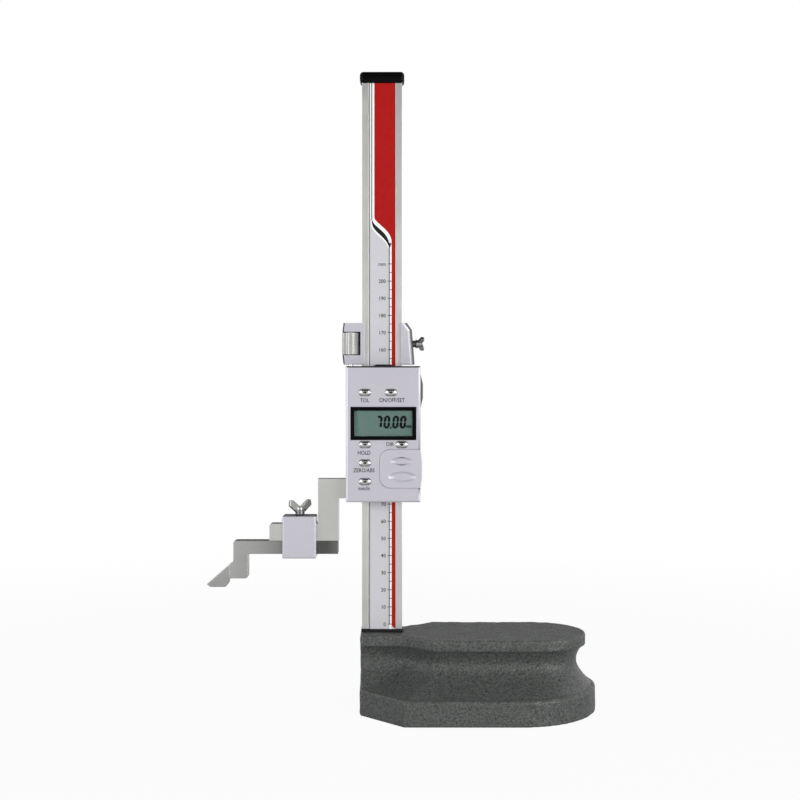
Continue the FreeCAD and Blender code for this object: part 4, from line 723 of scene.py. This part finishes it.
def make_battery_cover():
    """The D-shaped cover with two lens-shaped grips pressed into it."""
    low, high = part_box("battery_cover")
    mesh = remeshed(copy_of("battery_cover"), 0.2 * MM, 2)
    normals = [vert.normal.copy() for vert in mesh.vertices]
    middle_z = (low.z + high.z) / 2
    grip_depth, wall, shade_reach = 1.15 * MM, 0.8 * MM, 2.2 * MM
    # each grip's centre, half width and half height
    grips = [(11.4 * MM, middle_z + 4.3 * MM, 6.4 * MM, 2.5 * MM),
             (11.8 * MM, middle_z - 4.6 * MM, 8.2 * MM, 3.2 * MM)]
    for vert, normal in zip(mesh.vertices, normals):
        place = vert.co.copy()
        if place.y < low.y + wall and normal.y < -0.5:
            for x, z, half_x, half_z in grips:
                inside = 1 - ((place.x - x) / half_x) ** 2 - ((place.z - z) / half_z) ** 2
                place.y += grip_depth * smoothstep(1.4 * inside)
        vert.co = kept_inside(place, low, high)
    # painted shade: the rims' top and bottom faces near the front take the shadow-line finish
    for face in mesh.polygons:
        face.material_index = 1 if abs(face.normal.z) > 0.8 and face.center.y < low.y + shade_reach else 0
    add_mesh("battery_cover_moulded", mesh, "battery_door", PLASTIC, "case", "battery_cover", sharp=math.pi,
             even=False, second=PAINTED_SHADOW_LINE)


def make_slider():
    """The frame with its jaw and the display's case; the case has painted shade on its top edge and a painted
    highlight on its side rounds.
    """
    dress("slider_frame", "slider", STEEL, "steel", 0.25 * MM)
    # painted shade on the jaw's upward faces
    dress("measuring_jaw", "slider", JAW_STEEL, "steel", 0.35 * MM, above=PAINTED_SHADE_STEEL)
    bm = copy_of("display_housing")
    low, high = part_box("display_housing")
    # painted shade on the top faces, painted highlight on the rounded sides
    for face in bm.faces:
        if face.normal.z > 0.35 and face.calc_center_median().z > high.z - 2.0 * MM:
            face.material_index = 1
        elif 0.2 < abs(face.normal.x) < 0.97 and face.normal.y < -0.2:
            face.material_index = 2
    piece = add_piece("display_housing_lacquered", bm, "slider", PLASTIC, "case", "display_housing",
                      sharp=math.radians(30), second=PAINTED_SHADOW_LINE)
    piece.data.materials.append(PAINTED_HIGHLIGHT_EDGE)
    dress("display_bezel", "slider", BLACK, "black_plastic", 0.12 * MM)
    dress("data_port_cover", "slider", TRIM, "dark_trim", 0.25 * MM)
    dress("top_wiper", "slider", RUBBER, "black_rubber", 0.25 * MM)
    finish_cad("display_lens", WINDOW)
    finish_cad("lcd_panel", LCD)
    for node, finish in (("housing_screws", DARK_SCREW), ("gib_screws", DARK_SCREW), ("gib_strip", BRASS),
                         ("jaw_screws", DARK_SCREW), ("lcd_contact_strips", RUBBER), ("circuit_board", LAMINATE),
                         ("board_screws", DARK_SCREW), ("button_pad", RUBBER), ("coin_cell", NUT_STEEL),
                         ("battery_contact", BRASS), ("fine_feed_rod", NUT_STEEL)):
        finish_cad(node, finish)
    make_keys()
    make_legends()
    make_reading()
    make_battery_cover()


# Fine feed

def make_nut():
    """The thumb nut: straight ribs all round between two plain ends, with its bore through it."""
    low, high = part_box("fine_feed_nut")
    centre = (low + high) / 2
    radius, height = (high.x - low.x) / 2, high.z - low.z
    ribs, groove_share, bore, rim = 22, 0.945, 1.6 * MM, 0.4 * MM
    bm = bmesh.new()
    outer = bmesh.ops.create_circle(bm, cap_ends=False, segments=4 * ribs, radius=radius)["verts"]
    for number, vert in enumerate(outer):
        if number % 4 >= 2:
            vert.co *= groove_share
    inner = bmesh.ops.create_circle(bm, cap_ends=False, segments=32, radius=bore)["verts"]
    rings = [list({edge for vert in verts for edge in vert.link_edges}) for verts in (outer, inner)]
    tops = []
    for loop in rings:
        grown = bmesh.ops.extrude_edge_only(bm, edges=loop)["geom"]
        bmesh.ops.translate(bm, verts=verts_in(grown), vec=(0, 0, height))
        tops.append(edges_in(grown))
    bmesh.ops.bridge_loops(bm, edges=rings[0] + rings[1])
    bmesh.ops.bridge_loops(bm, edges=tops[0] + tops[1])
    bmesh.ops.translate(bm, verts=bm.verts, vec=(centre.x, centre.y, low.z))
    closed(bm)
    rims = [edge for edge in bm.edges
            if edge.calc_face_angle(0.0) > math.radians(60) and abs(edge.verts[0].co.z - edge.verts[1].co.z) < 1e-6]
    bevelled(bm, rims, rim, 2)
    # painted shade: the groove faces between the ribs take the darker steel
    for face in bm.faces:
        spot = face.calc_center_median() - centre
        if abs(face.normal.z) < 0.5 and 0.7 * radius < math.hypot(spot.x, spot.y) < 0.955 * radius:
            face.material_index = 1
    add_piece("fine_feed_nut_ribbed", bm, "thumb_nut", RIB_STEEL, "steel", "fine_feed_nut",
              sharp=math.radians(28), second=GROOVE_PAINTED_SHADE)


def make_wing_screw(node, body, axis):
    """A cast wing screw: its hub and ears run together and rounded; its stem and the lower part of its ears, along
    the axis, are darkened as painted shade.
    """
    low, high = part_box(node)
    shade_share = 0.60
    mesh = remeshed(copy_of(node), 0.17 * MM)
    for vert in mesh.vertices:
        vert.co = kept_inside(vert.co, low, high)
    shade_end = low[axis] + shade_share * (high[axis] - low[axis])
    # painted shade on the part below shade_end
    for face in mesh.polygons:
        face.material_index = 1 if face.center[axis] < shade_end else 0
    add_mesh(node + "_cast", mesh, body, CAST_CHROME, "chrome", node, sharp=math.pi, even=False, second=PAINTED_SHADE_STEEL)


def make_carriage():
    """The carriage: lacquered face with a painted shadow outline, and painted shade on its ground sides, underside
    and nut window.
    """
    bm = copy_of("carriage_body")
    low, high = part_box("carriage_body")
    front = low.y + 0.05 * MM
    window_low, window_high, window_right = low.z + 5.0 * MM, low.z + 19.0 * MM, -12 * MM
    wing_left = 14 * MM

    def on_face(edge):
        """Whether a sharp edge bounds the face that looks at the user."""
        return (edge.is_manifold and max(vert.co.y for vert in edge.verts) < front
                and edge.calc_face_angle(0.0) > math.radians(30))

    def spans(edge, axis, least, most):
        """Whether an edge lies between two planes."""
        return all(least <= vert.co[axis] <= most for vert in edge.verts)

    slope = [edge for edge in bm.edges if on_face(edge) and spans(edge, X, wing_left, high.x)
             and abs(edge.verts[0].co.z - edge.verts[1].co.z) > 3 * MM]
    bevelled(bm, slope, 2.8 * MM, 6)
    # painted shadow: the rounded outline faces take the shadow-line finish
    for least, most in ((low.x, low.x + 1.5 * MM), (10 * MM, 13 * MM)):
        upright = [edge for edge in bm.edges if on_face(edge) and spans(edge, X, least, most)
                   and not spans(edge, Z, window_low, window_high)]
        for face in bevelled(bm, upright, 0.8 * MM, 2):
            face.material_index = 2
    rim = [edge for edge in bm.edges if on_face(edge) and spans(edge, X, low.x, window_right)
           and spans(edge, Z, window_low, window_high)]
    for face in bevelled(bm, rim, 0.6 * MM, 2):
        face.material_index = 2
    soften(bm, 0.3 * MM, 3)
    # painted shade: the nut window, the sides facing away and the underside take the dark steel
    for face in bm.faces:
        spot = face.calc_center_median()
        in_window = spot.x < window_right and window_low < spot.z < window_high and spot.y > low.y + 0.3 * MM
        aside = (face.normal.x > 0.35 and spot.x > wing_left) or (face.normal.x < -0.4 and spot.x < -21 * MM)
        if face.material_index == 0 and (in_window or aside or face.normal.z < -0.5):
            face.material_index = 1
    piece = add_piece("carriage_body_lacquered", bm, "carriage", PAINT, "silver_paint", "carriage_body",
                      second=PAINTED_SHADE_STEEL)
    piece.data.materials.append(PAINTED_SHADOW_LINE)


def make_feed():
    """The carriage on the rod, its nut and its lock."""
    make_carriage()
    finish_cad("lock_pad", BRASS)
    make_nut()
    make_wing_screw("lock_screw", "carriage_lock", X)


# Scriber

def make_scriber():
    """The stepped shank with its tip, and the clamp box that holds it."""
    low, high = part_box("scriber_shank")
    tip_low, tip_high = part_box("scriber_tip")
    # the drop's left side and heel, the bar's underside, and where the slope to the tip begins
    left = -86.9 * MM
    heel = left + 8.5 * MM
    under = high.z - 7.8 * MM
    bend = tip_high.z + 2.0 * MM
    corners = [(left, high.z), (left, bend), (low.x, tip_high.z), (low.x, low.z), (heel, low.z), (heel, under),
               (high.x, under), (high.x, high.z)]
    # which corners are rounded, and their radius
    rounds = {0: 1.6 * MM, 1: 0.8 * MM, 4: 1.7 * MM, 6: 0.6 * MM}
    bm = rounded_plate(corners, rounds, low.y, high.y, 0.3 * MM)
    # painted shade on the shank's upward faces
    add_piece("scriber_shank_ground", shade_painted_above(bm), "scriber", shank_steel(low.x, high.x), "steel",
              "scriber_shank", second=PAINTED_SHADE_STEEL)
    dress("scriber_tip", "scriber", TIP_STEEL, "carbide", 0.4 * MM, 3)
    # painted shade on the clamp box's upward faces
    dress("clamp_box", "clamp", PAINT, "silver_paint", 0.6 * MM, 4, above=PAINTED_SHADE_STEEL)
    make_wing_screw("clamp_screw", "clamp_lock", Z)


# Studio

def ray_share(tree, *kinds):
    """1 for the named kinds of ray, 0 for the others."""
    path = put(tree, "ShaderNodeLightPath")
    total = None
    for kind in kinds:
        ray = path.outputs[kind]
        if total is None:
            total = ray
        else:
            total = put(tree, "ShaderNodeMath", {0: total, 1: ray}, operation="MAXIMUM").outputs[0]
    return total


def make_floor():
    """A pale floor that keeps the shadow near the gauge and is white farther out, in sight and in reflections; in
    reflections the floor near the gauge glows dimmer, as painted shade.
    """
    bm = bmesh.new()
    bmesh.ops.create_circle(bm, cap_ends=True, segments=96, radius=12.0)
    mesh = mesh_from("floor", bm)
    floor = linked("floor", mesh)
    item = bpy.data.materials.new("pale_floor")
    item.use_nodes = True
    tree = item.node_tree
    shader = tree.nodes["Principled BSDF"]
    shader.inputs["Base Color"].default_value = (0.82, 0.82, 0.82, 1.0)
    shader.inputs["Roughness"].default_value = 0.9
    shader.inputs["Specular IOR Level"].default_value = 0.1
    glow = put(tree, "ShaderNodeEmission", {"Color": (1, 1, 1, 1), "Strength": 1.0})
    spot = put(tree, "ShaderNodeTexCoord").outputs["Object"]
    away = put(tree, "ShaderNodeVectorMath", {0: spot}, operation="LENGTH")
    shaded = put(tree, "ShaderNodeMapRange", {"Value": away.outputs["Value"], "From Min": 0.2, "From Max": 0.8,
                                              "To Min": 0.93, "To Max": 1.0}, interpolation_type="SMOOTHSTEP")
    # painted shade in reflections: near the gauge the floor glows at half strength for mirrored rays
    reflection_dimming = put(tree, "ShaderNodeMapRange", {"Value": away.outputs["Value"], "From Min": 0.25, "From Max": 0.75,
                                            "To Min": -0.5, "To Max": 0.0}, interpolation_type="SMOOTHSTEP")
    mirror = ray_share(tree, "Is Glossy Ray")
    level = put(tree, "ShaderNodeMath", {0: mirror, 1: reflection_dimming.outputs["Result"], 2: 1.0}, operation="MULTIPLY_ADD")
    tree.links.new(level.outputs[0], glow.inputs["Strength"])
    seen = put(tree, "ShaderNodeMath", {0: ray_share(tree, "Is Camera Ray", "Is Transmission Ray"),
                                        1: shaded.outputs["Result"], 2: mirror}, operation="MULTIPLY_ADD")
    mixed = put(tree, "ShaderNodeMixShader", {0: seen.outputs[0], 1: shader.outputs[0], 2: glow.outputs[0]})
    tree.links.new(mixed.outputs[0], tree.nodes["Material Output"].inputs["Surface"])
    mesh.materials.append(item)


def make_world():
    """White in sight and in reflections, and a plain level of light on the gauge."""
    world = bpy.data.worlds.new("studio")
    bpy.context.scene.world = world
    world.use_nodes = True
    tree = world.node_tree
    backdrop = tree.nodes["Background"]
    backdrop.inputs["Color"].default_value = (1, 1, 1, 1)
    share = ray_share(tree, "Is Camera Ray", "Is Glossy Ray", "Is Transmission Ray")
    strength = put(tree, "ShaderNodeMapRange", {"Value": share, "To Min": 0.42, "To Max": 1.0})
    tree.links.new(strength.outputs["Result"], backdrop.inputs["Strength"])


def make_lamp(name, place, size, power):
    """A square soft box that faces the gauge's middle."""
    lamp = bpy.data.lights.new(name, "AREA")
    lamp.size = size
    lamp.energy = power
    holder = linked(name, lamp)
    holder.location = place
    aim = MIDDLE - Vector(place)
    holder.rotation_euler = aim.to_track_quat("-Z", "Y").to_euler()


def make_dark_card(name, place, half_x, half_y):
    """A card that only reflections see, as the dark side of a studio."""
    bm = bmesh.new()
    bmesh.ops.create_grid(bm, x_segments=1, y_segments=1, size=1.0)
    bmesh.ops.scale(bm, verts=bm.verts, vec=(half_x, half_y, 1.0))
    aim = MIDDLE - Vector(place)
    turned = Matrix.Translation(place) @ aim.to_track_quat("Z", "Y").to_matrix().to_4x4()
    bmesh.ops.transform(bm, verts=bm.verts, matrix=turned)
    mesh = mesh_from(name, bm)
    card = linked(name, mesh)
    item = bpy.data.materials.new(name)
    item.use_nodes = True
    tree = item.node_tree
    shader = tree.nodes["Principled BSDF"]
    shader.inputs["Base Color"].default_value = (0.01, 0.01, 0.01, 1.0)
    clear = put(tree, "ShaderNodeBsdfTransparent")
    share = ray_share(tree, "Is Glossy Ray")
    mixed = put(tree, "ShaderNodeMixShader", {0: share, 1: clear.outputs[0], 2: shader.outputs[0]})
    tree.links.new(mixed.outputs[0], tree.nodes["Material Output"].inputs["Surface"])
    mesh.materials.append(item)


def make_camera():
    """The photograph's viewpoint: a little to the right of the column, level with the display's upper half."""
    data = bpy.data.cameras.new("viewpoint")
    data.sensor_width = 36.0
    data.lens = 53.73
    data.clip_end = 60.0
    camera = linked("viewpoint", data)
    camera.location = (0.012125, -0.700, 0.181517)
    sideways, down = -0.0024, 0.0034
    camera.rotation_euler = (math.radians(90) - down, 0.0, -sideways)
    bpy.context.scene.camera = camera


make_base()
make_column()
make_slider()
make_feed()
make_scriber()
make_floor()
make_world()
make_lamp("right_light", (0.85, -0.95, 0.34), 0.7, 8.6)
make_lamp("left_light", (-0.85, -0.90, 0.30), 0.7, 4.9)
make_lamp("top_light", (0.1, -0.35, 1.25), 0.9, 1.5)
make_dark_card("card_over", (0.0, -0.42, 1.05), 0.50, 0.95)
make_dark_card("card_front", (0.0, -1.20, 0.22), 0.09, 0.22)
make_dark_card("card_behind", (0.0, 1.25, 0.34), 0.60, 0.22)
make_camera()
bpy.context.scene.view_settings.view_transform = "Standard"
